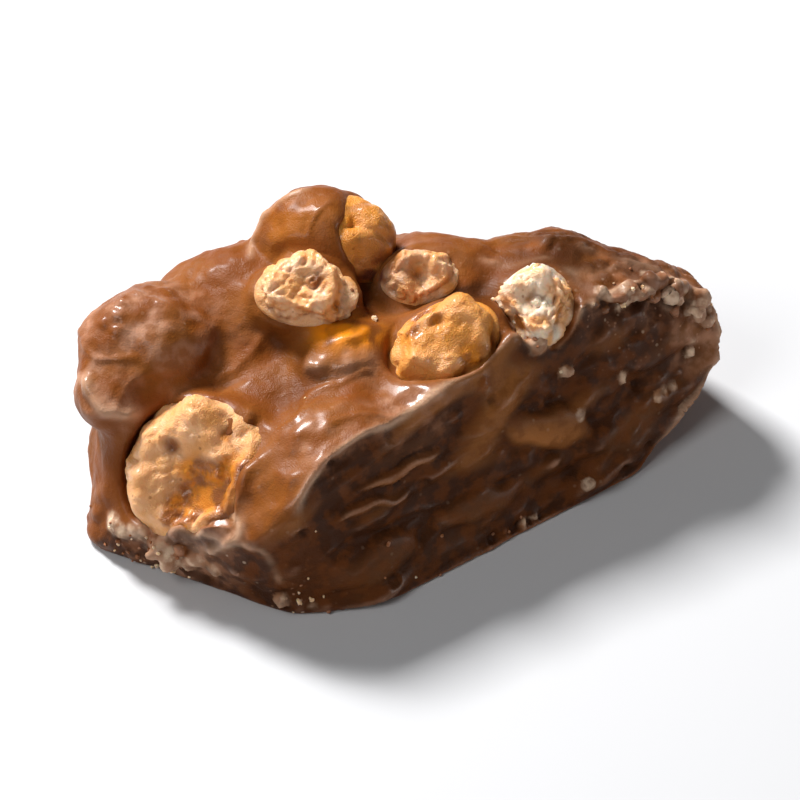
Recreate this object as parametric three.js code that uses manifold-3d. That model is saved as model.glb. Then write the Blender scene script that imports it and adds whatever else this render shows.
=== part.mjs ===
// One chocolate peanut cluster: roasted peanuts set in milk chocolate, some of them bare.
// Millimetres, +Z up. X runs along the cluster, +Y to its back, and it rests on z = 0.
// The chocolate is the soft union of a few rounded masses and of the peanuts buried under
// its skin. Flat cuts give the side on which it set, the low front, the corner between them
// and the base.

import * as THREE from 'three';
import { mergeVertices } from 'three/addons/utils/BufferGeometryUtils.js';
import Module from 'manifold-3d';

const wasm = await Module();
wasm.setup();

// ---- Driving dimensions ----

// Middle of the whole cluster's box, seen from above, in the frame of the tables below.
const MIDDLE = new THREE.Vector3(0.14, 0.51, 0);

// An egg is { at, radii, faces: [azimuth, elevation] of its third axis, spin about that axis }.
const egg = (at, radii, faces = [0, 90], spin = 0) => ({ at, radii, faces, spin });

// Chocolate with peanuts deep inside: the bulk of the cluster.
const MASSES = [
  egg([-12.5, 1.0, 2.5], [12.5, 11.5, 10.2]),
  egg([-1.0, 0.5, 2.5], [14.5, 14.5, 11.6]),
  egg([13.1, 5.3, 7.2], [12.7, 9.0, 8.0], [0, 90], 10),
  egg([8.0, 0.0, 3.0], [11.5, 11.5, 9.8], [0, 90], 30),
  egg([-16.0, -5.5, 0.5], [8.2, 8.2, 8.0], [0, 90], -20),
  egg([-8.0, -9.6, 1.5], [9.0, 9.0, 6.4]),
  egg([-8.2, -10.2, 6.8], [9.5, 7.0, 4.6], [180, 48]),
];

// Peanuts under the skin, each one a bump on the chocolate.
const BURIED = [
  egg([-20.2, 1.6, 13.0], [5.8, 5.0, 4.4], [0, 90], 12),
  egg([-23.4, -2.6, 11.6], [3.0, 3.4, 2.6]),
  egg([-20.2, -3.6, 4.6], [4.0, 4.8, 7.4]),
  egg([-13.0, 8.0, 12.4], [6.2, 4.2, 4.2], [0, 90], 10),
  egg([-4.8, -7.2, 10.4], [6.6, 3.4, 3.4], [-40, 60], 38),
  egg([-4.3, 0.2, 13.2], [4.2, 3.1, 3.0], [0, 90], 10),
  egg([-11.4, 4.6, 12.6], [4.6, 3.6, 3.4], [0, 90], 40),
  egg([3.4, 8.6, 12.8], [6.4, 4.2, 4.0], [0, 90], -10),
  egg([11.4, 9.4, 12.4], [6.2, 4.2, 4.0], [0, 90], 12),
  egg([18.4, 7.8, 10.0], [5.4, 4.2, 3.8], [0, 90], -20),
  egg([21.4, 7.4, 8.7], [4.4, 4.2, 4.2], [0, 90], 30),
  egg([3.2, -4.8, 11.7], [5.6, 3.2, 3.3], [0, 90], 34),
  egg([10.6, -0.1, 13.1], [6.8, 3.4, 3.2], [0, 90], 36),
  egg([17.0, 5.4, 12.5], [5.4, 3.6, 2.8], [0, 90], 30),
  egg([-20.5, -7.8, 0.4], [5.4, 3.6, 1.2], [0, 90], -20),
];

// The same along the back, which is finished like the front.
const BACK = [
  egg([-20.6, 8.2, 6.6], [5.6, 4.4, 4.4], [130, 20], 30),
  egg([-9.6, 11.6, 6.2], [6.4, 4.2, 4.0], [100, 20], -25),
  egg([0.6, 13.6, 8.2], [6.2, 4.2, 4.0], [90, 20], 15),
  egg([10.2, 13.4, 5.6], [6.4, 4.4, 4.0], [80, 10], -20),
  egg([18.8, 10.6, 7.0], [5.8, 4.2, 4.0], [60, 20], 10),
  egg([5.0, 13.4, 2.2], [5.6, 3.8, 3.6], [90, 0], 60),
];

// Bare peanuts, each in a socket. `flat` is where a split or broken face lies along the third
// axis, as a share of that radius, and `hollow` is the depth of the dip in that face, in mm.
const PEANUTS = [
  { name: 'peanut_front', ...egg([-15.6, -8.2, 7.8], [6.6, 6.2, 4.6], [-128, 36]), flat: 0.82, hollow: 0.7 },
  { name: 'peanut_crown', ...egg([-5.8, 9.9, 16.3], [5.5, 4.1, 4.2], [-90, 70], -12), flat: 1.2, hollow: 0 },
  { name: 'peanut_broken', ...egg([-7.5, 3.0, 17.0], [4.3, 3.0, 3.0], [-90, 60]), flat: 0.78, hollow: 0.1 },
  { name: 'peanut_golden', ...egg([3.6, -0.2, 14.2], [5.0, 3.6, 3.5], [-90, 60], 30), flat: 0.8, hollow: 0.4 },
  { name: 'peanut_chip', ...egg([1.6, 6.2, 15.4], [3.4, 2.5, 2.5], [-90, 60]), flat: 0.75, hollow: 0.2 },
  { name: 'peanut_pale', ...egg([11.0, 3.3, 15.2], [3.2, 3.6, 3.1], [-90, 60]), flat: 0.7, hollow: 0.2 },
];

// How softly things run into each other: within the masses, within the peanuts under the skin,
// where the two meet, and where the chocolate climbs up a bare peanut.
const BLEND = { masses: 1.6, buried: 0.9, skin: 2.2, collar: 1.5 };
const COLLAR_BELOW = 0.9; // the collar round a bare peanut stays this far under its surface
const SOCKET_GAP = 0.3;
const FACE_BLEND = 0.9; // rounding at the rim of a split face
const HOLLOW_SPREAD = 0.5; // width of the dip, as a share of the peanut's radii

// Left end, where the skin runs straight down.
const LEFT_WALL = { at: [-25.6, -6, 6], out: [-1, -0.12, 0], blend: 1.6 };

// Flat cuts: a point on the cut, the azimuth in which it faces, and how far it leans back.
const SET_SIDE = { at: [3, -12.4, 0], azimuth: -55, lean: 20 };
const LOW_FRONT = { at: [-17, -12.5, 0], azimuth: -114.8, lean: -8 };
const CORNER = { at: [-6.5, -16.2, 0], azimuth: -78, lean: 4 };
const CUT_SIZE = 120;

// Rays that find the skin start at these distances from this middle, and the grid on them.
const BODY_RAYS = { middle: [0, 1, 6], reach: [27, 17, 18], segments: 22 };
const PEANUT_SEGMENTS = 6;
const MARCH_STEPS = 70;
const BISECTIONS = 26;
const FARTHEST = 1.6;

const COLOURS = {
  chocolate: { color: 0x6b3f24, roughness: 0.4, metalness: 0 },
  peanut: { color: 0xd9a066, roughness: 0.55, metalness: 0 },
};

// ---- Field: negative inside, about the distance to the surface in mm ----

// Axes of an egg: the third one points to [azimuth, elevation], then a spin about it.
function axesOf({ faces: [azimuth, elevation], spin }) {
  const rad = THREE.MathUtils.degToRad;
  const turn = new THREE.Matrix4().makeRotationZ(rad(azimuth));
  turn.multiply(new THREE.Matrix4().makeRotationY(rad(90 - elevation)));
  return turn.multiply(new THREE.Matrix4().makeRotationZ(rad(spin - azimuth)));
}

function withAxes(shape) {
  return { ...shape, inverse: axesOf(shape).setPosition(...shape.at).invert() };
}

const local = new THREE.Vector3();

function eggDistance(point, shape) {
  local.copy(point).applyMatrix4(shape.inverse);
  const [a, b, c] = shape.radii;
  const near = Math.hypot(local.x / a, local.y / b, local.z / c);
  const steep = Math.hypot(local.x / (a * a), local.y / (b * b), local.z / (c * c));
  return (near * (near - 1)) / (steep + 1e-9);
}

// Soft union of many: every shape adds its share, and the nearest one adds most.
function unionOf(shapes, distance, softness) {
  let sum = 0;
  for (const shape of shapes) sum += Math.exp(-distance(shape) / softness);
  return -softness * Math.log(sum + 1e-26);
}

function smoothMin(a, b, blend) {
  const share = THREE.MathUtils.clamp(0.5 + (0.5 * (b - a)) / blend, 0, 1);
  return b + (a - b) * share - blend * share * (1 - share);
}

const smoothMax = (a, b, blend) => -smoothMin(-a, -b, blend);

const masses = MASSES.map(withAxes);
const buried = [...BURIED, ...BACK].map(withAxes);
const peanuts = PEANUTS.map(withAxes);
const wallOut = new THREE.Vector3(...LEFT_WALL.out).normalize();
const wallAt = new THREE.Vector3(...LEFT_WALL.at);

function chocolateField(point) {
  const bulk = unionOf(masses, (mass) => eggDistance(point, mass), BLEND.masses);
  const bumps = unionOf(buried, (bump) => eggDistance(point, bump), BLEND.buried);
  const collars = unionOf(peanuts, (peanut) => peanutField(point, peanut) + COLLAR_BELOW, BLEND.buried);
  const skin = smoothMin(smoothMin(bulk, bumps, BLEND.skin), collars, BLEND.collar);
  return smoothMax(skin, point.clone().sub(wallAt).dot(wallOut), LEFT_WALL.blend);
}

// A kernel is an egg with one face split off, and that face dips in the middle.
function peanutField(point, peanut) {
  const [a, b, c] = peanut.radii;
  const whole = eggDistance(point, peanut);
  const dip = Math.exp(-((local.x / (a * HOLLOW_SPREAD)) ** 2) - (local.y / (b * HOLLOW_SPREAD)) ** 2);
  const face = local.z - (c * peanut.flat - peanut.hollow * dip);
  return smoothMax(whole, face, FACE_BLEND);
}

// ---- Meshes ----

// A box grid blown up to a sphere, so that its squares stay nearly even.
function rayGrid(segments) {
  const box = new THREE.BoxGeometry(2, 2, 2, segments, segments, segments);
  box.deleteAttribute('normal');
  box.deleteAttribute('uv');
  const grid = mergeVertices(box);
  const place = grid.attributes.position;
  const ray = new THREE.Vector3();
  const even = (value) => Math.tan((value * Math.PI) / 4);
  for (let i = 0; i < place.count; i += 1) {
    ray.fromBufferAttribute(place, i);
    ray.set(even(ray.x), even(ray.y), even(ray.z)).normalize();
    place.setXYZ(i, ray.x, ray.y, ray.z);
  }
  return grid;
}

// Moves every point of the grid along its ray to the outermost place where the field is zero.
function skinOf(field, middle, reach, segments) {
  const grid = rayGrid(segments);
  const place = grid.attributes.position;
  const centre = new THREE.Vector3(...middle);
  const span = new THREE.Vector3(...reach);
  const ray = new THREE.Vector3();
  const at = (share) => ray.clone().multiplyScalar(share).add(centre);
  for (let i = 0; i < place.count; i += 1) {
    ray.fromBufferAttribute(place, i).multiply(span);
    let inside = FARTHEST;
    while (inside > 0 && field(at(inside)) > 0) inside -= FARTHEST / MARCH_STEPS;
    let outside = inside + FARTHEST / MARCH_STEPS;
    for (let step = 0; step < BISECTIONS; step += 1) {
      const half = (inside + outside) / 2;
      if (field(at(half)) > 0) outside = half;
      else inside = half;
    }
    const found = at(inside);
    place.setXYZ(i, found.x, found.y, found.z);
  }
  return grid;
}

function solidOf(geometry) {
  const vertProperties = new Float32Array(geometry.attributes.position.array);
  const triVerts = new Uint32Array(geometry.index.array);
  return new wasm.Manifold(new wasm.Mesh({ numProp: 3, vertProperties, triVerts }));
}

function geometryOf(solid) {
  const { vertProperties, triVerts } = solid.getMesh();
  const geometry = new THREE.BufferGeometry();
  geometry.setAttribute('position', new THREE.BufferAttribute(vertProperties, 3));
  geometry.setIndex(new THREE.BufferAttribute(triVerts, 1));
  geometry.computeVertexNormals();
  return geometry;
}

// A big block whose one face is the cut, with the block on the outer side of it.
function cutter({ at, azimuth, lean }) {
  const box = new THREE.BoxGeometry(CUT_SIZE, CUT_SIZE, CUT_SIZE);
  box.deleteAttribute('normal');
  box.deleteAttribute('uv');
  const block = mergeVertices(box);
  block.translate(CUT_SIZE / 2, 0, 0);
  block.rotateY(-THREE.MathUtils.degToRad(lean));
  block.rotateZ(THREE.MathUtils.degToRad(azimuth));
  block.translate(...at);
  return solidOf(block);
}

function chocolateSolid() {
  const { middle, reach, segments } = BODY_RAYS;
  let solid = solidOf(skinOf(chocolateField, middle, reach, segments));
  const base = { at: [0, 0, 0], azimuth: 0, lean: -90 };
  for (const cut of [SET_SIDE, LOW_FRONT, CORNER, base]) solid = solid.subtract(cutter(cut));
  for (const peanut of peanuts) solid = solid.subtract(solidOf(peanutSkin(peanut, SOCKET_GAP)));
  return geometryOf(solid);
}

function peanutSkin(peanut, grow) {
  const field = (point) => peanutField(point, peanut) - grow;
  const reach = Array(3).fill(Math.max(...peanut.radii) + 1);
  return skinOf(field, peanut.at, reach, PEANUT_SEGMENTS);
}

function named(name, geometry, colours) {
  const mesh = new THREE.Mesh(geometry, new THREE.MeshStandardMaterial(colours));
  mesh.name = name;
  mesh.position.copy(MIDDLE).negate();
  return mesh;
}

// ---- The cluster ----

const cluster = new THREE.Group();
cluster.add(named('chocolate', chocolateSolid(), COLOURS.chocolate));
for (const peanut of peanuts) cluster.add(named(peanut.name, peanutSkin(peanut, 0), COLOURS.peanut));

export default cluster;
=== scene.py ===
"""A chocolate peanut cluster, dressed over its solids.

The tables hold millimetres in the frame of the solids before their middle is moved to the
origin, and every mesh is moved and scaled to metres as it is made. The chocolate's skin is the
zero level of a field: a soft union of eggs, cut by a few flat planes. Eggs stand for the bulk,
for the peanuts buried under the skin, and for the bare peanuts, over which the skin is a thin
coat with a window in it.
"""

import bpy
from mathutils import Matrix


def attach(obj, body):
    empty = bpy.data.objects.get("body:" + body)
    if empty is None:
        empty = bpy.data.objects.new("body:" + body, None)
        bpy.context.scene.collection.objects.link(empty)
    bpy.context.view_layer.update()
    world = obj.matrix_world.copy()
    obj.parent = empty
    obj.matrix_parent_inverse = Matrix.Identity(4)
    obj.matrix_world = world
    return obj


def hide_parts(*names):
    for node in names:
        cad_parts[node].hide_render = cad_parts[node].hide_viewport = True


bl_info = {
    "name": "Chocolate Peanut Cluster",
    "version": (1, 0, 0),
    "blender": (4, 5, 0),
    "location": "3D View > Sidebar > Cluster",
    "description": "Builds a chocolate peanut cluster with bare peanuts, a tray side and crumbs",
    "category": "Add Mesh",
}

from math import cos, pi, radians, sin

import bpy
import numpy as np
from bpy.props import FloatProperty, FloatVectorProperty, IntProperty, PointerProperty
from mathutils import Vector

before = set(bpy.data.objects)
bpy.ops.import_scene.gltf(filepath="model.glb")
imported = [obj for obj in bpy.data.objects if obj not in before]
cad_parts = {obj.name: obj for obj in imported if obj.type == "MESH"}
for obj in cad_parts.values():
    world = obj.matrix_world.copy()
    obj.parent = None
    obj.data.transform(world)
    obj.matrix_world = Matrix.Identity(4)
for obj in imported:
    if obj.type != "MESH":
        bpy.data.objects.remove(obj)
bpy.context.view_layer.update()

MM = 0.001

# The middle of the solids' box seen from above, in the tables' frame.
MIDDLE = np.array([0.14, 0.51, 0.0])


def egg(at, radii, faces=(0, 90), spin=0):
    """An egg by its middle, its radii, where its third axis points, and its spin about that axis."""
    azimuth, elevation = faces
    axes = turn_z(azimuth) @ turn_y(90 - elevation) @ turn_z(spin - azimuth)
    return {"at": np.array(at), "radii": np.array(radii), "axes": axes}


def turn_z(degrees):
    """Turn about the upright axis."""
    c = cos(radians(degrees))
    s = sin(radians(degrees))
    return np.array([[c, -s, 0], [s, c, 0], [0, 0, 1]])


def turn_y(degrees):
    """Turn about the axis that runs away from the camera."""
    c = cos(radians(degrees))
    s = sin(radians(degrees))
    return np.array([[c, 0, s], [0, 1, 0], [-s, 0, c]])


# ---- The same eggs and cuts as in the solids ----

MASSES = [
    egg((-12.5, 1.0, 2.5), (12.5, 11.5, 10.2)),
    egg((-1.0, 0.5, 2.5), (14.5, 14.5, 11.6)),
    egg((13.1, 5.3, 7.2), (12.7, 9.0, 8.0), spin=10),
    egg((8.0, 0.0, 3.0), (11.5, 11.5, 9.8), spin=30),
    egg((-16.0, -5.5, 0.5), (8.2, 8.2, 8.0), spin=-20),
    egg((-8.0, -9.6, 1.5), (9.0, 9.0, 6.4)),
    egg((-8.2, -10.2, 6.8), (9.5, 7.0, 4.6), (180, 48)),
]
BURIED = [
    egg((-20.2, 1.6, 13.0), (5.8, 5.0, 4.4), spin=12),
    egg((-23.4, -2.6, 11.6), (3.0, 3.4, 2.6)),
    egg((-20.2, -3.6, 4.6), (4.0, 4.8, 7.4)),
    egg((-13.0, 8.0, 12.4), (6.2, 4.2, 4.2), spin=10),
    egg((-4.8, -7.2, 10.4), (6.6, 3.4, 3.4), (-40, 60), 38),
    egg((-4.3, 0.2, 13.2), (4.2, 3.1, 3.0), spin=10),
    egg((-11.4, 4.6, 12.6), (4.6, 3.6, 3.4), spin=40),
    egg((3.4, 8.6, 12.8), (6.4, 4.2, 4.0), spin=-10),
    egg((11.4, 9.4, 12.4), (6.2, 4.2, 4.0), spin=12),
    egg((18.4, 7.8, 10.0), (5.4, 4.2, 3.8), spin=-20),
    egg((21.4, 7.4, 8.7), (4.4, 4.2, 4.2), spin=30),
    egg((3.2, -4.8, 11.7), (5.6, 3.2, 3.3), spin=34),
    egg((10.6, -0.1, 13.1), (6.8, 3.4, 3.2), spin=36),
    egg((17.0, 5.4, 12.5), (5.4, 3.6, 2.8), spin=30),
    egg((-20.5, -7.8, 0.4), (5.4, 3.6, 1.2), spin=-20),
    egg((-20.6, 8.2, 6.6), (5.6, 4.4, 4.4), (130, 20), 30),
    egg((-9.6, 11.6, 6.2), (6.4, 4.2, 4.0), (100, 20), -25),
    egg((0.6, 13.6, 8.2), (6.2, 4.2, 4.0), (90, 20), 15),
    egg((10.2, 13.4, 5.6), (6.4, 4.4, 4.0), (80, 10), -20),
    egg((18.8, 10.6, 7.0), (5.8, 4.2, 4.0), (60, 20), 10),
    egg((5.0, 13.4, 2.2), (5.6, 3.8, 3.6), (90, 0), 60),
]

# Bare peanuts. The split face lies at the share `flat` of the egg's third radius, and dips by
# `hollow` mm in its middle; from 1 up there is none, and the kernel is whole. `bare` is the middle of
# the window in the coat, in the peanut's own axes, and `open` the cosine at which the window ends.
# `grain` is how crumbly the kernel is, `toast` how brown, `white` how pale, and `facets` how many
# breaks it has. Each lump, or dish where its height is below nought, has a place, reach and height.
PEANUTS = {
    "peanut_front": {
        "egg": egg((-15.6, -8.2, 7.8), (6.6, 6.2, 4.6), (-128, 36)),
        "flat": 0.82, "hollow": 0.7, "bare": (0.0, 0.0, 1.0), "open": 0.16,
        "grain": 0.45, "toast": 0.2, "white": 0.1,
        "facets": 3, "lumps": [
            ((-15.8, -6.6, 13.2), 1.6, 1.0),
            ((-11.2, -9.5, 12.3), 1.5, 0.9),
            ((-20.5, -9.2, 8.3), 1.6, 0.8),
            ((-19.4, -7.1, 11.0), 1.6, 0.5),
            ((-20.2, -10.5, 7.0), 1.3, 0.4),
            ((-14.6, -11.4, 10.8), 0.5, 0.5),
            ((-17.4, -9.9, 9.6), 0.8, 0.25),
            ((-15.8, -11.3, 9.6), 2.5, -1.0),
            ((-13.0, -11.2, 10.9), 1.9, -0.9),
            ((-17.6, -12.1, 7.5), 1.6, -0.7),
            ((-14.6, -12.6, 9.0), 1.8, -0.8),
            ((-13.4, -8.6, 13.0), 0.8, -0.5),
            ((-18.0, -8.3, 11.2), 0.7, -0.5),
        ],
    },
    "peanut_crown": {
        "egg": egg((-5.8, 9.9, 16.3), (5.5, 4.1, 4.2), (-90, 70), -12),
        "flat": 1.2, "hollow": 0.0, "bare": (0.9, 0.15, 0.45), "open": 0.66,
        "grain": 0.2, "toast": 1.0, "white": 0.0,
        "facets": 0, "lumps": [
            ((-2.2, 9.9, 19.4), 1.6, 0.7),
            ((-1.2, 8.8, 18.2), 1.3, 0.4),
            ((-3.7, 8.4, 19.7), 0.8, -0.5),
        ],
    },
    "peanut_broken": {
        "egg": egg((-7.5, 3.0, 17.0), (4.3, 3.0, 3.0), (-90, 60)),
        "flat": 0.78, "hollow": 0.1, "bare": (0.1, 0.1, 1.0), "open": 0.0,
        "grain": 0.9, "toast": 0.25, "white": 0.35,
        "facets": 6, "lumps": [
            ((-9.9, 1.6, 18.2), 1.3, 0.7),
            ((-7.5, 4.5, 19.4), 1.5, 0.7),
            ((-9.1, 0.2, 16.9), 1.0, 0.5),
            ((-5.4, 3.0, 19.0), 0.9, 0.4),
            ((-6.6, 2.4, 19.0), 0.9, -0.45),
            ((-4.6, 0.9, 17.6), 0.8, -0.5),
        ],
    },
    "peanut_golden": {
        "egg": egg((3.6, -0.2, 14.2), (5.0, 3.6, 3.5), (-90, 60), 30),
        "flat": 0.8, "hollow": 0.4, "bare": (0.0, 0.1, 1.0), "open": 0.14,
        "grain": 0.35, "toast": 0.75, "white": 0.0,
        "facets": 5, "lumps": [
            ((6.9, 0.9, 17.0), 1.3, 0.7),
            ((4.9, 1.2, 17.4), 1.4, 0.6),
            ((0.0, -3.1, 14.7), 1.3, 0.6),
            ((4.3, -1.1, 16.5), 1.4, 0.4),
            ((0.9, -0.6, 16.4), 1.1, -0.5),
            ((3.0, -0.2, 16.9), 0.7, -0.45),
            ((5.6, -2.2, 15.4), 1.2, -0.6),
            ((1.6, 2.0, 16.6), 1.5, -0.8),
        ],
    },
    "peanut_chip": {
        "egg": egg((1.6, 6.2, 15.4), (3.4, 2.5, 2.5), (-90, 60)),
        "flat": 0.75, "hollow": 0.2, "bare": (0.0, 0.0, 1.0), "open": 0.2,
        "grain": 0.9, "toast": 0.35, "white": 0.3,
        "facets": 5, "lumps": [
            ((0.2, 6.7, 17.4), 0.9, 0.6),
            ((2.7, 6.3, 17.3), 0.9, 0.5),
            ((1.4, 5.4, 17.2), 0.6, -0.5),
        ],
    },
    "peanut_pale": {
        "egg": egg((11.0, 3.3, 15.2), (3.2, 3.6, 3.1), (-90, 60)),
        "flat": 0.7, "hollow": 0.2, "bare": (0.0, -0.1, 1.0), "open": -0.1,
        "grain": 1.0, "toast": 0.0, "white": 1.0,
        "facets": 6, "lumps": [
            ((9.0, 3.5, 17.4), 0.9, 0.6),
            ((11.6, 3.9, 17.8), 1.0, 0.6),
            ((13.6, 3.6, 16.9), 0.8, 0.5),
            ((11.4, 1.4, 16.8), 0.8, 0.5),
            ((10.0, 4.9, 17.9), 0.8, 0.5),
            ((10.3, 2.4, 17.2), 0.5, -0.3),
            ((12.5, 2.6, 17.0), 0.5, -0.3),
            ((13.2, 1.4, 16.2), 1.0, -0.5),
            ((8.8, 1.0, 15.6), 1.1, -0.5),
        ],
    },
}

# How wide the joins are rounded: between the masses, between the buried peanuts, between these two,
# round the coats, at the edge of a split face, round the nuggets and round a clearance.
BLEND = {
    "masses": 1.6, "buried": 0.9, "skin": 2.2, "coat": 1.5, "face": 0.9, "nugget": 0.45, "clearance": 0.8,
}

# How far the bulk is cleared in front of a bare peanut, the dip's width as a share of the radii, and
# the coat that the edges of the cuts are found with.
CLEARANCE = 0.7
HOLLOW_SPREAD = 0.5
EDGE_COAT = {"coat": 0.35, "sunk": 0.5}


def plane(at, azimuth, lean, blend):
    """A flat cut by a point on it, the azimuth it faces and how far it leans back, in degrees."""
    flat = cos(radians(lean))
    out = np.array([cos(radians(azimuth)) * flat, sin(radians(azimuth)) * flat, sin(radians(lean))])
    return {"at": np.array(at), "out": out, "blend": blend}


LEFT_WALL = plane((-25.6, -6.0, 6.0), 186.8, 0, 1.6)
SET_SIDE = plane((3.0, -12.4, 0.0), -55, 20, 0.45)
LOW_FRONT = plane((-17.0, -12.5, 0.0), -114.8, -8, 0.7)
CORNER = plane((-6.5, -16.2, 0.0), -78, 4, 1.2)
BASE = plane((0.0, 0.0, 0.0), 0, -90, 0.5)

# Directions in the set side: along the ridge, which rises by 10 degrees, and across it.
RIDGE_RISE = radians(10)
LEVEL = np.array([cos(radians(35)), sin(radians(35)), 0.0])
UPWARD = np.cross(SET_SIDE["out"], LEVEL)
ALONG = LEVEL * cos(RIDGE_RISE) + UPWARD * sin(RIDGE_RISE)
ACROSS = UPWARD * cos(RIDGE_RISE) - LEVEL * sin(RIDGE_RISE)

# Nuggets of nut and chocolate stuck along these paths: corners, how many, their smallest and
# largest radius, how far they stray, and how much of them is bare nut.
NUGGET_PATHS = [
    (
        [(-23.6, -7.2, 2.6), (-21.4, -10.2, 3.4), (-19.0, -11.8, 3.2), (-16.6, -13.0, 3.6),
         (-14.2, -13.6, 4.2)],
        34, 0.3, 0.95, 0.8, 0.8,
    ),
    ([(-22.4, -9.4, 3.8), (-21.6, -10.0, 3.0)], 3, 0.7, 1.0, 0.4, 1.0),
    ([(-18.9, -12.4, 3.6), (-18.0, -12.8, 2.6)], 4, 0.6, 0.9, 0.4, 1.0),
    ([(-16.4, -13.4, 3.2), (-14.8, -13.9, 3.2)], 4, 0.5, 0.8, 0.3, 1.0),
    ([(-10.0, -15.2, 2.6), (-8.2, -15.4, 1.4), (-6.0, -15.4, 1.0)], 12, 0.3, 0.6, 0.7, 0.4),
    ([(-12.0, -13.8, 5.0), (-9.6, -15.0, 4.4), (-8.0, -15.0, 3.0)], 16, 0.3, 0.6, 0.8, 0.3),
    (
        [(15.0, 3.1, 15.4), (18.3, 5.1, 15.1), (21.0, 6.7, 14.2), (23.3, 7.5, 12.3), (24.7, 7.5, 10.1)],
        120, 0.15, 0.55, 0.8, 0.65,
    ),
    ([(24.2, 6.7, 9.4), (22.8, 4.6, 6.8), (20.0, 2.2, 5.0)], 8, 0.2, 0.4, 0.5, 0.4),
    ([(-2.8, 5.6, 13.6), (-2.2, 3.8, 14.0)], 6, 1.3, 1.7, 0.3, 0.0),
    ([(9.0, 1.4, 14.6), (10.8, 0.2, 14.4), (11.6, 0.2, 13.6)], 10, 0.4, 0.8, 0.5, 1.0),
    ([(5.4, -10.0, 0.6), (9.6, -7.2, 0.8), (12.4, -5.2, 1.0)], 6, 0.25, 0.45, 0.3, 0.5),
    ([(13.1, -0.2, 11.3), (13.4, 0.0, 11.4)], 2, 0.35, 0.4, 0.1, 1.0),
    ([(18.0, 2.0, 8.5), (18.1, 2.1, 8.5)], 1, 0.4, 0.45, 0.0, 1.0),
    ([(14.4, -1.0, 7.4), (14.5, -0.9, 7.4)], 1, 0.35, 0.4, 0.0, 1.0),
    ([(6.2, -3.8, 13.6), (7.0, -3.4, 13.4)], 5, 0.3, 0.45, 0.4, 0.4),
    ([(16.2, -1.6, 2.9), (14.6, -2.8, 1.6)], 4, 0.3, 0.5, 0.3, 0.6),
]

# Where the skin is rough, scuffed and pale with bloom and painted highlights, or thin over a peanut. A spot
# is a middle, a reach and a strength.
ROUGH_SPOTS = [
    ((-18.5, -12.0, 2.5), 4.0, 1.0),
    ((-12.5, -13.5, 4.5), 3.0, 0.7),
    ((14.5, 6.5, 15.5), 6.5, 0.8),
    ((22.0, 8.0, 13.0), 5.0, 0.8),
    ((-8.0, -16.0, 1.0), 3.0, 0.8),
    ((-23.0, 0.0, 8.0), 3.5, 0.4),
    ((-22.6, 0.4, 16.6), 2.6, 0.55),
    ((-18.4, 2.6, 17.6), 3.0, 0.45),
    ((18.5, 5.0, 15.2), 2.6, 1.0),
    ((21.5, 6.6, 14.0), 2.6, 1.0),
    ((24.2, 7.4, 11.0), 3.0, 1.0),
    ((25.0, 7.2, 8.4), 2.0, 0.8),
]
SCUFF_AND_HIGHLIGHT_SPOTS = [
    ((-19.4, 0.6, 17.4), 4.6, 1.0),
    ((-24.6, -2.4, 13.4), 2.6, 1.0),
    ((-24.4, 1.0, 15.4), 2.0, 0.8),
    ((24.2, 6.8, 10.0), 3.4, 1.0),
    ((20.6, 6.6, 14.6), 3.0, 1.0),
    ((-17.5, -12.6, 3.0), 4.0, 0.8),
    ((-6.5, -10.0, 13.6), 3.0, 0.5),
    ((1.0, -6.8, 14.4), 3.0, 0.7),
    ((15.5, 4.4, 16.2), 3.0, 0.6),
    ((17.6, 4.6, 15.0), 2.0, 1.0),
    ((22.5, 6.9, 12.9), 2.4, 1.0),
    ((-24.0, -4.9, 13.2), 1.6, 1.0),
    ((-22.0, -5.8, 12.4), 1.4, 1.0),
    ((-13.4, -14.2, 8.2), 2.0, 0.8),
    # Painted highlights below the amber patch.
    ((-5.4, -2.9, 14.8), 0.9, 1.0),
    ((-4.3, -2.9, 15.0), 1.1, 1.0),
    ((-3.0, -2.7, 15.0), 1.1, 1.0),
    ((0.0, 12.0, 12.0), 6.0, 0.4),
    ((-14.0, 12.0, 9.0), 5.0, 0.5),
    ((14.0, 14.0, 9.0), 6.0, 0.4),
    ((-4.0, 16.0, 6.0), 5.0, 0.35),
    ((22.0, 10.0, 6.0), 4.0, 0.4),
]
THIN_SPOTS = [
    ((-5.8, -0.4, 16.0), 1.3, 1.0),
    ((-4.5, -0.6, 16.1), 1.5, 1.0),
    ((-3.1, -0.6, 15.9), 1.2, 0.9),
    ((-2.0, -0.2, 15.7), 1.2, 0.4),
    ((-9.2, 9.4, 19.6), 2.6, 0.15),
]

# Where the skin is darker, by uneven patches.
SHADE_SPOTS = [
    ((5.6, 4.8, 15.6), 2.6, 0.9),
    ((7.6, 0.8, 15.8), 1.7, 0.9),
    ((14.2, 8.4, 16.0), 6.0, 0.9),
    ((18.8, 8.8, 15.2), 4.6, 0.85),
    ((10.6, 6.6, 16.2), 2.0, 0.6),
    ((-2.6, 5.0, 15.0), 2.0, 0.5),
    ((-10.4, 0.6, 14.0), 1.6, 0.25),
    ((-8.7, -4.0, 14.0), 2.4, 0.35),
]

# Where the skin is glossiest.
SHINE_SPOTS = [
    ((-5.4, -3.0, 14.7), 0.9, 1.0),
    ((-4.4, -2.9, 14.9), 1.0, 1.0),
    ((-3.0, -2.7, 14.9), 1.1, 0.9),
    ((-8.2, -9.0, 12.6), 1.5, 1.0),
    ((-1.8, -7.2, 14.2), 1.3, 1.0),
    ((1.4, -5.8, 14.8), 1.3, 1.0),
    ((-20.2, 1.0, 17.4), 3.0, 0.5),
    ((-14.6, -13.2, 6.6), 2.0, 0.8),
    ((5.6, -3.4, 14.6), 1.2, 0.7),
]

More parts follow.
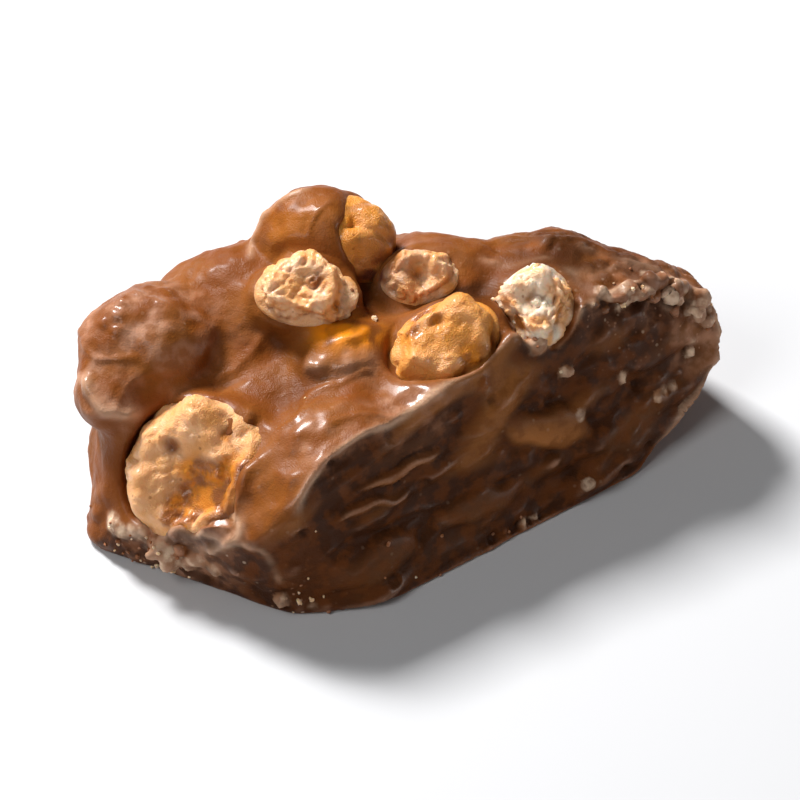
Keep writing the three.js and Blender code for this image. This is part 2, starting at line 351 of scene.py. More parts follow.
# Smooth patches in the set side: middle along and across, half length and half width, turn in
# degrees from the ridge, height, and how light its brown is.
LENSES = [
    (8.5, 2.5, 5.0, 1.9, -36, 0.45, 1.1),
    (19.6, 3.0, 4.2, 2.0, -25, 0.40, 0.0),
    (-3.2, 8.8, 5.0, 0.9, -8, -0.35, 0.1),
    (-4.3, 7.4, 4.6, 0.6, -12, 0.30, 0.7),
    (-7.3, 6.3, 4.0, 0.5, -15, 0.35, 0.4),
    (-9.5, 1.6, 4.2, 2.2, -6, 0.45, 0.25),
    (-2.0, 3.6, 5.0, 1.6, -10, -0.40, 0.0),
    (0.5, 0.4, 4.5, 1.5, -14, 0.35, 0.3),
    (-13.2, 6.0, 2.4, 1.6, 20, -0.30, 0.0),
]

# Raised folds of the skin: the points that a fold runs through, its half width, its height and
# how pale it is, a paleness that is partly wear and partly a painted highlight.
FOLDS = [
    (
        [(-16.7, -12.9, 6.2), (-16.1, -12.9, 7.5), (-14.7, -13.1, 8.3), (-13.2, -14.0, 9.0),
         (-12.5, -14.8, 8.4), (-13.2, -15.1, 7.3), (-14.7, -14.3, 5.8), (-16.2, -12.9, 4.8),
         (-16.7, -12.9, 6.2)],
        0.45, 0.6, 0.9,
    ),
    (
        [(-25.2, -2.6, 14.4), (-24.6, -4.7, 13.4), (-23.8, -5.6, 12.9), (-22.4, -5.9, 12.4),
         (-21.2, -5.7, 12.1), (-20.2, -5.3, 12.0)],
        0.5, 0.6, 0.9,
    ),
    ([(-12.2, -11.6, 11.0), (-11.8, -12.4, 9.4), (-11.6, -12.8, 8.0)], 0.3, 0.35, 0.3),
    (
        [(-8.0, -2.4, 14.2), (-6.4, -2.9, 14.6), (-4.8, -3.2, 14.9), (-3.0, -2.8, 15.0), (-1.2, -1.8, 15.0)],
        0.9, 0.75, 0.25,
    ),
    (
        [(-6.8, 11.4, 20.6), (-9.2, 10.9, 20.0), (-10.9, 10.3, 18.6), (-11.9, 9.0, 16.8),
         (-12.0, 6.6, 16.6)],
        0.35, 0.3, 0.8,
    ),
    ([(12.0, 6.0, 16.0), (15.0, 6.4, 16.4), (17.6, 7.6, 16.0), (19.6, 9.6, 15.0)], 0.5, 0.35, 0.3),
    ([(14.0, 9.6, 16.2), (16.8, 9.2, 16.0), (20.4, 8.2, 14.6), (22.8, 8.0, 12.8)], 0.5, 0.35, 0.3),
    ([(6.0, 8.2, 16.2), (9.0, 7.0, 16.4), (12.6, 7.6, 16.2)], 0.45, 0.3, 0.3),
]

# Tongues of chocolate that lap over the bare peanuts, as spots.
LAPS = [
    ((-11.2, -12.6, 9.2), 2.2, 1.3),
    ((-14.6, -14.0, 6.6), 1.8, 1.0),
    ((-17.2, -13.0, 5.8), 1.7, 0.8),
]

# Scraps of skin and chocolate on the bare peanuts, and where crumbs lie thickest.
STAINS = [
    ((-18.0, -8.3, 11.2), 0.75, 0.9),
    ((-17.7, -9.0, 10.7), 0.5, 0.7),
    ((-12.7, -11.2, 11.9), 0.9, 0.8),
    ((-11.6, -12.2, 9.8), 1.9, 0.8),
    ((-13.6, -13.2, 8.6), 1.5, 0.7),
    ((6.6, -1.6, 15.4), 0.9, 0.6),
    ((-1.4, 7.0, 16.0), 3.0, 0.9),
]
CRUMB_SPOTS = [
    ((11.0, 2.0, 16.5), 3.0, 0.7),
    ((19.0, 5.2, 15.2), 3.0, 0.5),
    ((24.0, 7.0, 10.4), 2.6, 0.5),
    ((-21.0, -11.0, 2.4), 3.0, 1.0),
    ((-17.8, -12.4, 1.0), 2.4, 0.9),
    ((-7.5, -16.2, 1.5), 2.6, 1.0),
    ((8.9, -8.0, 0.6), 2.0, 0.7),
    ((1.9, -12.8, 0.8), 1.6, 0.7),
    ((-4.0, 3.5, 17.0), 3.0, 0.4),
]

# Edges that carry a thin pale line, partly wear and partly a painted highlight: the cut that each
# belongs to, a point inside the cut, and the angles round that point between which it runs.
EDGE_LINES = [
    (SET_SIDE, (7.0, -6.0, 5.0), (-16, 164)),
    (LOW_FRONT, (-17.5, -11.5, 1.2), (14, 160)),
]

# Where the camera looks, from what angle above the floor, and the width that it takes in. The lens
# is long, so that the view is nearly parallel.
AIM = (-0.00014, -0.00351, 0.011)
VIEW_HEIGHT = radians(45)
FRAME_WIDTH = 0.064
LENS = 200
SENSOR = 36

# Lights in metres: name, place, width and power. The key stands behind to the left.
LIGHTS = [
    ("key", (-0.22, 0.26, 0.36), 0.12, 4.8),
    ("soft front", (-0.24, -0.22, 0.36), 0.22, 0.85),
    ("low side", (0.46, -0.15, 0.08), 0.22, 0.5),
]
ROOM_LIGHT = 0.06
ROOM_COLOUR = (0.90, 0.95, 1.0, 1.0)
FLOOR_REACH = 600.0

# The box and the width of the cubes in which the chocolate's surface is found, and how finely a
# kernel's grid is cut, per mm of its largest radius.
NET_BOX = np.array([[-27.5, -18.5, -1.2], [27.5, 19.0, 23.0]])
NET_STEPS = (0.255, 0.5)
KERNEL_CUTS = (9, 5)

# How far a point is slid towards the mean of its neighbours in each round of settling.
SLIDE = 0.7

# Seeds of the random draws, and the width of the smallest crumb.
NUGGET_SEED = 3
CRUMB_SEED = 7
SMALLEST_CRUMB = 0.28


# ---- Numbers on whole arrays ----


def egg_distance(points, shape):
    """Distance to an egg, its gradient, and the points in the egg's axes. With these divided by the
    radii once for a and twice for b, the distance is about |a| (|a| - 1) / |b|."""
    local = (points - shape["at"]) @ shape["axes"]
    a = local / shape["radii"]
    b = a / shape["radii"]
    near = np.sqrt(np.einsum("ij,ij->i", a, a))
    steep = np.sqrt(np.einsum("ij,ij->i", b, b)) + 1e-9
    return near * (near - 1) / steep, (b / steep[:, None]) @ shape["axes"].T, local


def soft_union(parts, softness):
    """Union of many: minus softness times the log of the sum of exp(-distance / softness)."""
    total = 0.0
    lean = 0.0
    for distance, gradient in parts:
        weight = np.exp(np.clip(-distance / softness, -60, 60))
        total = total + weight
        lean = lean + gradient * weight[:, None]
    total = total + 1e-26
    return -softness * np.log(total), lean / total[:, None]


def smooth_min(first, second, blend):
    """Smaller of two fields, rounded where they are within `blend` of each other."""
    f, f_lean = first
    g, g_lean = second
    share = np.clip(0.5 + 0.5 * (g - f) / blend, 0, 1)
    low = g + (f - g) * share - blend * share * (1 - share)
    return low, g_lean + (f_lean - g_lean) * share[:, None]


def smooth_max(first, second, blend):
    """Larger of two fields, rounded in the same way."""
    low, lean = smooth_min((-first[0], -first[1]), (-second[0], -second[1]), blend)
    return -low, -lean


def cut_by(field, points, cut):
    """The field kept on the inner side of a plane."""
    outside = (points - cut["at"]) @ cut["out"]
    return smooth_max(field, (outside, np.broadcast_to(cut["out"], points.shape)), cut["blend"])


def smooth_step(values, low, high):
    """0 at low, 1 at high, whichever is larger, and 3 t^2 - 2 t^3 between them."""
    t = np.clip((values - low) / (high - low), 0, 1)
    return t * t * (3 - 2 * t)


def wavy(points, size, phase=0.0):
    """A cheap even wobble from -1 to 1: the mean of three sines in slanting directions."""
    k = 2 * pi / size
    x, y, z = points[:, 0], points[:, 1], points[:, 2]
    total = np.sin(k * (x * 0.8 + y * 0.5 - z * 0.3) + phase)
    total = total + np.sin(k * (y * 0.9 - x * 0.35 + z * 0.4) * 1.31 + 2.1 * phase + 1.0)
    return (total + np.sin(k * (z * 0.85 + x * 0.3 + y * 0.45) * 1.73 + 0.7 * phase + 2.0)) / 3


def scramble(cells, salt):
    """A number from 0 to 1 for each whole-numbered cell, by multiplying by large primes, adding and
    folding bits. Every use of a noise has a salt of its own, so that no two are alike."""
    mixed = cells[..., 0] * 374761393 + cells[..., 1] * 668265263
    mixed = mixed + cells[..., 2] * 2246822519 + salt * 3266489917
    mixed = (mixed ^ (mixed >> 13)) * 1274126177
    mixed = mixed ^ (mixed >> 16)
    return (mixed & 0xFFFFFF) / float(0x1000000)


def swell(points, size, salt):
    """Gradient noise from about -1 to 1 with bumps as large as `size`: at each corner of the cell
    a random slope, blended by 6 t^5 - 15 t^4 + 10 t^3."""
    place = points / size
    cell = np.floor(place).astype(np.int64)
    part = place - cell
    ease = part**3 * (part * (part * 6 - 15) + 10)
    total = np.zeros(len(points))
    for corner in np.ndindex(2, 2, 2):
        at = cell + corner
        away = part - corner
        slope = np.stack([scramble(at, salt + axis) for axis in range(3)], 1) * 2 - 1
        share = np.prod(np.where(np.array(corner) > 0, ease, 1 - ease), axis=1)
        total += share * np.einsum("ij,ij->i", slope, away)
    return total * 1.5


def pebbles(points, size, salt):
    """Distance to the nearest and to the second nearest of one random point per cell, in cells."""
    place = points / size
    cell = np.floor(place).astype(np.int64)
    first = np.full(len(points), 9.0)
    second = np.full(len(points), 9.0)
    for step in np.ndindex(3, 3, 3):
        at = cell + np.array(step) - 1
        seed = at + np.stack([scramble(at, salt + axis) for axis in range(3)], 1)
        gap = np.sqrt(((place - seed) ** 2).sum(1))
        second = np.minimum(second, np.maximum(first, gap))
        first = np.minimum(first, gap)
    return first, second


def spots(points, table):
    """Largest of the spots' shares, each exp(-(distance / reach)^2) times its strength."""
    share = np.zeros(len(points))
    for at, reach, strength in table:
        away = ((points - np.array(at)) ** 2).sum(1)
        share = np.maximum(share, strength * np.exp(-away / reach**2))
    return share


def smooth_path(corners, steps):
    """A path through its corners: on each stretch the cubic whose slopes at the two ends are half
    the chord between the corners on either side."""
    corners = np.array(corners, float)
    ends = np.concatenate([corners[:1] * 2 - corners[1:2], corners, corners[-1:] * 2 - corners[-2:-1]])
    t = np.linspace(0, 1, steps, endpoint=False)[:, None]
    pieces = []
    for a, b, c, d in zip(ends, ends[1:], ends[2:], ends[3:]):
        cubic = 2 * b + (c - a) * t + (2 * a - 5 * b + 4 * c - d) * t**2 + (3 * b - a - 3 * c + d) * t**3
        pieces.append(cubic / 2)
    return np.concatenate(pieces + [corners[-1:]])


def path_distance(points, path):
    """Distance from points to a path of straight stretches, and how far along the path that is."""
    nearest = np.full(len(points), 1e9)
    share = np.zeros(len(points))
    for number, (start, end) in enumerate(zip(path, path[1:])):
        chord = end - start
        t = np.clip(((points - start) @ chord) / (chord @ chord), 0, 1)
        gap = np.linalg.norm(points - start - t[:, None] * chord, axis=1)
        closer = gap < nearest
        nearest = np.where(closer, gap, nearest)
        share = np.where(closer, (number + t) / (len(path) - 1), share)
    return nearest, share


# ---- Fields ----


def peanut_field(points, peanut):
    """An egg whose third axis ends in a split face, which dips by a bell curve in its middle."""
    shape = peanut["egg"]
    distance, lean, local = egg_distance(points, shape)
    reach = shape["radii"][:2] * HOLLOW_SPREAD
    dip = np.exp(-((local[:, :2] / reach) ** 2).sum(1))
    face = local[:, 2] - (shape["radii"][2] * peanut["flat"] - peanut["hollow"] * dip)
    out = np.broadcast_to(shape["axes"][:, 2], points.shape)
    return smooth_max((distance, lean), (face, out), BLEND["face"]), local


def window_edge(peanut, local):
    """How far inside the window of the coat a point is, in mm, below nought outside. The window is a
    cone about `bare`, its edge wanders by three wobbles, and tongues of chocolate lap over it."""
    away = local / (np.linalg.norm(local, axis=1)[:, None] + 1e-9)
    middle = np.array(peanut["bare"]) / np.linalg.norm(peanut["bare"])
    wobble = 0.13 * wavy(local, 4.7) + 0.06 * wavy(local, 2.1, 2.0) + 0.02 * wavy(local, 1.1, 4.0)
    wobble = wobble - spots(local @ peanut["egg"]["axes"].T + peanut["egg"]["at"], LAPS)
    return (away @ middle + wobble - peanut["open"]) * peanut["egg"]["radii"].mean()


def cleared(field, points, peanut):
    """The field less an egg like the peanut's, moved out along the middle of its window."""
    shape = peanut["egg"]
    middle = np.array(peanut["bare"]) / np.linalg.norm(peanut["bare"])
    distance, lean, _ = egg_distance(points - shape["axes"] @ middle * CLEARANCE, shape)
    return smooth_max(field, (-distance, -lean), BLEND["clearance"])


def with_coat(below, points, peanut, sizes):
    """The field with a peanut's coat in it. In the window the coat's thickness falls, along a slope,
    from `coat` to minus `sunk`, so that the peanut shows, and the fillet round it narrows."""
    (distance, lean), local = peanut_field(points, peanut)
    bare = smooth_step(window_edge(peanut, local), -0.5, 0.8)
    thickness = sizes["coat"] - (sizes["coat"] + sizes["sunk"]) * bare
    return smooth_min(below, (distance - thickness, lean), BLEND["coat"] * (1 - 0.65 * bare))


def bare_share(points):
    """1 where the skin runs into the window of a bare peanut, and 0 from about a millimetre outside."""
    share = np.zeros(len(points))
    for peanut in PEANUTS.values():
        near = close_to(points, peanut)
        (distance, _), local = peanut_field(points[near], peanut)
        inside = smooth_step(window_edge(peanut, local), -1.4, -0.3) * (1 - smooth_step(distance, 0.9, 2.2))
        share[near] = np.maximum(share[near], inside)
    return share


def close_to(points, peanut):
    """Which points lie within reach of a peanut."""
    reach = max(peanut["egg"]["radii"]) + 3
    return np.linalg.norm(points - peanut["egg"]["at"], axis=1) < reach


def skin_field(points, sizes):
    """Bulk and buried peanuts, cleared where peanuts are bare, and the peanuts' coats, softly joined,
    before any flat cut but the left wall's."""
    bulk = soft_union([egg_distance(points, mass)[:2] for mass in MASSES], BLEND["masses"])
    bumps = soft_union([egg_distance(points, bump)[:2] for bump in BURIED], BLEND["buried"])
    field, lean = smooth_min(bulk, bumps, BLEND["skin"])
    for peanut in PEANUTS.values():
        near = close_to(points, peanut)
        field[near], lean[near] = cleared((field[near], lean[near]), points[near], peanut)
    for peanut in PEANUTS.values():
        near = close_to(points, peanut)
        field[near], lean[near] = with_coat((field[near], lean[near]), points[near], peanut, sizes)
    return cut_by((field, lean), points, LEFT_WALL)


def nuggets():
    """Eggs along the nugget paths, each with a random place, size and turn, and its share of nut."""
    rng = np.random.default_rng(NUGGET_SEED)
    found = []
    for corners, count, smallest, largest, stray, bare in NUGGET_PATHS:
        path = smooth_path(corners, 12)
        for place in rng.choice(len(path), count):
            radius = smallest + (largest - smallest) * rng.random() ** 1.5
            at = path[place] + rng.normal(size=3) * stray * 0.6
            at[2] = max(at[2], radius * 0.7)
            radii = radius * rng.uniform(0.5, 1.3, 3)
            shape = egg(at, radii, (rng.uniform(0, 360), rng.uniform(0, 90)), rng.uniform(0, 180))
            found.append((shape, rng.random() < bare))
    return found


def with_nuggets(field, points):
    """The field with every nugget joined to it by a tight fillet."""
    value, lean = field
    for shape, _ in NUGGETS:
        near = ((points - shape["at"]) ** 2).sum(1) < (shape["radii"].max() + 0.8) ** 2
        bump = egg_distance(points[near], shape)[:2]
        value[near], lean[near] = smooth_min((value[near], lean[near]), bump, BLEND["nugget"])
    return value, lean


def chocolate_field(points, sizes):
    """The skin cut flat on its set side, low front and corner, with nuggets, cut flat at its base."""
    field = skin_field(points, sizes)
    for cut in (LOW_FRONT, CORNER, SET_SIDE):
        field = cut_by(field, points, cut)
    return cut_by(with_nuggets(field, points), points, BASE)


NUGGETS = nuggets()


# ---- Grids and meshes ----


def ray_grid(segments):
    """Points and quads of a cube's grid blown up to a sphere: both parameters of a face run from
    -1 to 1 and through tan(pi t / 4), and each point is brought to length one."""
    steps = np.arange(segments + 1)
    lattice = np.stack(np.meshgrid(steps, steps, steps, indexing="ij"), -1)
    on = ((lattice == 0) | (lattice == segments)).any(-1)
    number = np.full(on.shape, -1)
    number[on] = np.arange(on.sum())
    u, v = (axis.ravel() for axis in np.meshgrid(steps[:-1], steps[:-1], indexing="ij"))
    quads = []
    for axis in range(3):
        for side in (0, segments):
            corners = []
            for du, dv in ((0, 0), (1, 0), (1, 1), (0, 1)):
                at = [None, None, None]
                at[axis] = np.full_like(u, side)
                at[(axis + 1) % 3] = u + du
                at[(axis + 2) % 3] = v + dv
                corners.append(number[at[0], at[1], at[2]])
            face = np.stack(corners, 1)
            quads.append(face if side else face[:, ::-1])
    rays = np.tan((lattice[on] / segments * 2 - 1) * pi / 4)
    return rays / np.linalg.norm(rays, axis=1)[:, None], np.concatenate(quads)


def fill_crossed_squares(values):
    """Where only two opposite corners of a lattice square lie inside, its other two are put inside
    too, because the surface would touch itself along an edge there."""
    for axis in range(3):
        flat = np.moveaxis(values, axis, 0)
        a, b, c, d = flat[:, :-1, :-1], flat[:, 1:, :-1], flat[:, :-1, 1:], flat[:, 1:, 1:]
        crossed = ((a < 0) == (d < 0)) & ((b < 0) == (c < 0)) & ((a < 0) != (b < 0))
        for corner in (a, b, c, d):
            corner[crossed & (corner >= 0)] = -0.01


def net(field, low, high, step):
    """Points and quads of the field's zero level. Space is cut into cubes a step wide. A cube whose
    corners differ in sign gets a point at the mean of the crossings on its edges, and every lattice
    edge that crosses gets a quad through the four cubes round it."""
    counts = np.ceil((high - low) / step / 4).astype(int) * 4
    lattice = low + step * np.stack(np.meshgrid(*map(np.arange, counts), indexing="ij"), -1)
    coarse = field(lattice[::4, ::4, ::4].reshape(-1, 3))[0].reshape(counts // 4)
    values = coarse.repeat(4, 0).repeat(4, 1).repeat(4, 2)
    near = np.abs(values) < 7 * step
    values[near] = field(lattice[near])[0]
    for _ in range(6):
        fill_crossed_squares(values)
    total = np.zeros((*(counts - 1), 3))
    crossings = np.zeros(counts - 1)
    edges = []
    for axis in range(3):
        first = np.moveaxis(values, axis, 0)[:-1]
        second = np.moveaxis(values, axis, 0)[1:]
        at = np.argwhere(np.moveaxis((first < 0) != (second < 0), 0, axis))
        start = values[tuple(at.T)]
        end = values[tuple((at + np.eye(3, dtype=int)[axis]).T)]
        place = lattice[tuple(at.T)]
        place[:, axis] += step * start / (start - end)
        around = []
        for u, v in ((-1, -1), (0, -1), (0, 0), (-1, 0)):
            cube = at.copy()
            cube[:, (axis + 1) % 3] += u
            cube[:, (axis + 2) % 3] += v
            around.append(cube)
            np.add.at(total, tuple(cube.T), place)
            np.add.at(crossings, tuple(cube.T), 1)
        edges.append((np.stack(around, 1), start < 0))
    number = np.cumsum(crossings > 0).reshape(crossings.shape) - 1
    quads = []
    for around, rising in edges:
        face = number[tuple(around.reshape(-1, 3).T)].reshape(-1, 4)
        quads.append(np.where(rising[:, None], face, face[:, ::-1]))
    met = crossings > 0
    return total[met] / crossings[met][:, None], np.concatenate(quads)


def neighbour_mean(values, quads):
    """Mean of each point's neighbours along the quads' edges."""
    ends = np.concatenate([quads[:, [0, 1]], quads[:, [1, 2]], quads[:, [2, 3]], quads[:, [3, 0]]])
    count = np.bincount(ends[:, 0], minlength=len(values))
    sums = [np.bincount(ends[:, 0], values[ends[:, 1], k], len(values)) for k in range(values.shape[1])]
    return np.stack(sums, 1) / count[:, None]


def point_normals(points, quads):
    """Sum at each point of its quads' normals, a quad's being the cross of its diagonals."""
    face = np.cross(points[quads[:, 2]] - points[quads[:, 0]], points[quads[:, 3]] - points[quads[:, 1]])
    total = np.zeros_like(points)
    for corner in range(4):
        for axis in range(3):
            total[:, axis] += np.bincount(quads[:, corner], face[:, axis], len(points))
    return total / (np.linalg.norm(total, axis=1)[:, None] + 1e-12)


def unit(vectors):
    """Vectors brought to length one."""
    return vectors / (np.linalg.norm(vectors, axis=1)[:, None] + 1e-9)


def settle(points, quads, field, rounds):
    """Brings points to the field's zero level by steps along its gradient, each the value over the
    gradient's length. Each round but the last three also slides them along the surface towards the
    mean of their neighbours, to even out the quads."""
    for left in reversed(range(rounds + 3)):
        value, lean = field(points)
        steep = np.maximum(np.linalg.norm(lean, axis=1), 0.35)
        out = lean / steep[:, None]
        points = points - out * np.clip(value / steep, -0.8, 0.8)[:, None]
        if left > 2:
            slide = neighbour_mean(points, quads) - points
            points = points + SLIDE * (slide - out * (slide * out).sum(1)[:, None])
    return points


def drawn_on(points, out, field, reach):
    """Points moved along their normals to the nearest of the crossings that a line of samples finds."""
    offsets = np.linspace(-reach, reach, 9)
    values = np.stack([field(points + out * offset)[0] for offset in offsets])
    crossing = (values[:-1] < 0) & (values[1:] >= 0)
    share = np.where(crossing, values[:-1] / np.where(crossing, values[:-1] - values[1:], 1), 0)
    place = offsets[:-1, None] + share * (offsets[1] - offsets[0])
    move = np.where(crossing, place, 1e9)
    best = move[np.abs(move).argmin(0), np.arange(len(points))]
    return points + out * np.where(best < 1e8, best, 0)[:, None]


def add_piece(name, points, faces, masks=None, smooth=True):
    """A mesh from points in the tables' frame and faces, with a float attribute for each mask."""
    mesh = bpy.data.meshes.new(name)
    mesh.from_pydata((points - MIDDLE) * MM, [], faces)
    mesh.polygons.foreach_set("use_smooth", np.full(len(mesh.polygons), smooth))
    for mask, values in (masks or {}).items():
        attribute = mesh.attributes.new(mask, "FLOAT", "POINT")
        attribute.data.foreach_set("value", values.astype(np.float32))
    mesh.update()
    piece = bpy.data.objects.new(name, mesh)
    bpy.context.scene.collection.objects.link(piece)
    return piece


def evened(values, quads, rounds):
    """Rows of values on points, evened out by repeated means with their neighbours."""
    for _ in range(rounds):
        values = 0.5 * values + 0.5 * neighbour_mean(values, quads)
    return values


def bulge(points, quads, rounds, after):
    """How far each point stands out from the same surface evened out, in mm, evened out after."""
    even = evened(points, quads, rounds)
    stands = ((points - even) * point_normals(even, quads)).sum(1)
    return evened(stands[:, None], quads, after)[:, 0]


# ---- Edges of the cuts ----


def cut_edge(cut, middle, angles):
    """Where the skin meets a flat cut. From a middle in the cut run rays in its plane, at angles from
    the level direction, and on each the outermost point where the skin's field is below nought."""
    level = np.cross([0.0, 0.0, 1.0], cut["out"])
    level = level / np.linalg.norm(level)
    upward = np.cross(cut["out"], level)
    middle = np.array(middle) - cut["out"] * ((np.array(middle) - cut["at"]) @ cut["out"])
    turn = np.radians(np.linspace(*angles, 150))
    rays = np.cos(turn)[:, None] * level + np.sin(turn)[:, None] * upward
    reach = np.linspace(30, 1, 400)
    places = middle + rays[:, None, :] * reach[None, :, None]
    places = places.reshape(-1, 3)
    field = skin_field(places, EDGE_COAT)
    for other in (LOW_FRONT, CORNER, SET_SIDE, BASE):
        if other is not cut:
            field = cut_by(field, places, other)
    value = field[0].reshape(len(turn), -1)
    path = middle + rays * reach[np.argmax(value < 0, axis=1)][:, None]
    return np.concatenate([path[:1], (path[:-2] + 2 * path[1:-1] + path[2:]) / 4, path[-1:]])


def edge_line(points, width):
    """1 along the cuts' edges, by a bell curve across each, broken up and wavering along it."""
    line = np.zeros(len(points))
    for cut, middle, angles in EDGE_LINES:
        near = np.abs((points - cut["at"]) @ cut["out"]) < 1.5
        gap, share = path_distance(points[near], cut_edge(cut, middle, angles))
        waver = 0.75 + 0.9 * swell(points[near], 2.3, 131) + 0.5 * swell(points[near], 0.9, 133)
        strength = np.clip(waver, 0, 1) * smooth_step(share, 0, 0.04) * smooth_step(1 - share, 0, 0.04)
        line[near] = np.maximum(line[near], strength * np.exp(-((gap / (0.75 * width)) ** 2)))
    return line


# ---- The chocolate ----


def on_cut(points, out, cut, reach):
    """1 where the surface lies on a flat cut and faces its way."""
    gap = np.abs((points - cut["at"]) @ cut["out"])
    return smooth_step(out @ cut["out"], 0.80, 0.96) * (1 - smooth_step(gap, 0.3 * reach, reach))


def fold_shares(points):
    """The folds' height and how pale they are. Each fold is a bell curve across its path, tapered to
    its ends and wavering along it."""
    height = np.zeros(len(points))
    pale = np.zeros(len(points))
    for corners, width, rise, paleness in FOLDS:
        path = smooth_path(corners, 4)
        near = np.linalg.norm(points - path.mean(0), axis=1) < np.ptp(path, axis=0).max() + 2
        gap, share = path_distance(points[near], path)
        closed = np.allclose(corners[0], corners[-1])
        taper = 1.0 if closed else smooth_step(share, 0, 0.15) * smooth_step(1 - share, 0, 0.15)
        waver = 0.75 + 0.5 * swell(points[near], 1.7, 71)
        share = taper * waver * np.exp(-((gap / width) ** 2))
        height[near] = np.maximum(height[near], rise * share)
        pale[near] = np.maximum(pale[near], paleness * share)
    return height, pale


def smooth_side_height(points):
    """The skin over the nuts: broad swells, finer ones, ripples drawn out along the ridge, and soft
    folds where a noise crosses nought."""
    height = 0.50 * swell(points, 4.5, 11) + 0.20 * swell(points, 2.1, 23) + 0.07 * swell(points, 0.9, 37)
    drawn = points - 0.65 * (points @ ALONG)[:, None] * ALONG
    height += 0.09 * swell(drawn, 1.3, 39)
    crossing = 1 - np.abs(swell(points, 5.2, 41))
    return height + 0.16 * smooth_step(crossing, 0.86, 1.0)


def rough_side_height(points):
    """Crumbly stretches: clumps with cracks between them, and grit on the clumps."""
    first, second = pebbles(points, 1.9, 53)
    small_first, small_second = pebbles(points, 0.85, 57)
    clumps = 0.34 * smooth_step(second - first, 0.0, 0.45) - 0.10
    return clumps + 0.14 * smooth_step(small_second - small_first, 0, 0.4) + 0.12 * swell(points, 0.6, 59)


def lens_shares(points):
    """For each smooth patch of the set side its height, a smooth step of 1 - r^2, and its light
    brown, lightest at its lower edge. r is 1 on an ellipse, its outline made uneven by swells, in
    the coordinates along and across the ridge."""
    along = points @ ALONG
    across = points @ ACROSS
    height = np.zeros(len(points))
    cover = np.zeros(len(points))
    light = np.zeros(len(points))
    for u, v, length, width, turn, rise, brown in LENSES:
        c = cos(radians(turn))
        s = sin(radians(turn))
        du = along - u + 1.1 * swell(points, 3.4, 63)
        dv = across - v + 0.6 * swell(points, 2.4, 65)
        low = (dv * c - du * s) / width
        away = ((du * c + dv * s) / length) ** 2 + low**2
        share = smooth_step(1 - away, 0.0, 0.9)
        height += share * rise
        cover = np.maximum(cover, smooth_step(1 - away, 0.0, 0.5))
        light = np.maximum(light, share * brown * np.clip(0.8 - 0.5 * low, 0, 1))
    return height, cover, light


def flow_noise(points):
    """Swells drawn out to three times their width along the ridge, flat across the cut."""
    along = points @ ALONG
    across = points @ ACROSS
    return swell(np.stack([along / 3.0, across, np.zeros_like(along)], 1), 3.2, 67)


def set_side_height(points):
    """The side that set on a tray: smooth patches, and between them long shallow cells along the
    ridge, streaks at its left, lumps at its right and small pits."""
    along = points @ ALONG
    across = points @ ACROSS
    level = np.zeros_like(along)
    first, second = pebbles(np.stack([along / 2.8, across, level], 1), 2.6, 61)
    cells = 0.42 * smooth_step(second - first, 0.0, 0.6) - 0.24
    flows = 0.75 * flow_noise(points)
    streaks = 0.20 * swell(np.stack([along / 6, across, level], 1), 0.7, 69)
    drawn = points - 0.5 * along[:, None] * ALONG
    lumps = 0.60 * swell(drawn, 1.8, 77) + 0.24 * swell(drawn, 0.8, 79)
    rightward = smooth_step(along, 0.0, 7.0)
    first, _ = pebbles(points, 2.9, 73)
    pits = -0.35 * (1 - smooth_step(first, 0.10, 0.24))
    height, cover, _ = lens_shares(points)
    free = cells + flows + streaks * (1 - rightward) + lumps * (0.3 + 0.7 * rightward) + pits
    return free * (1 - 0.8 * cover) + height


def nugget_share(points):
    """1 on the nuggets that are bare nut, and 0 from 0.3 mm off them."""
    share = np.zeros(len(points))
    for shape, bare in NUGGETS:
        if bare:
            near = ((points - shape["at"]) ** 2).sum(1) < (shape["radii"].max() + 1) ** 2
            distance = egg_distance(points[near], shape)[0]
            share[near] = np.maximum(share[near], 1 - smooth_step(distance, -0.05, 0.3))
    return share


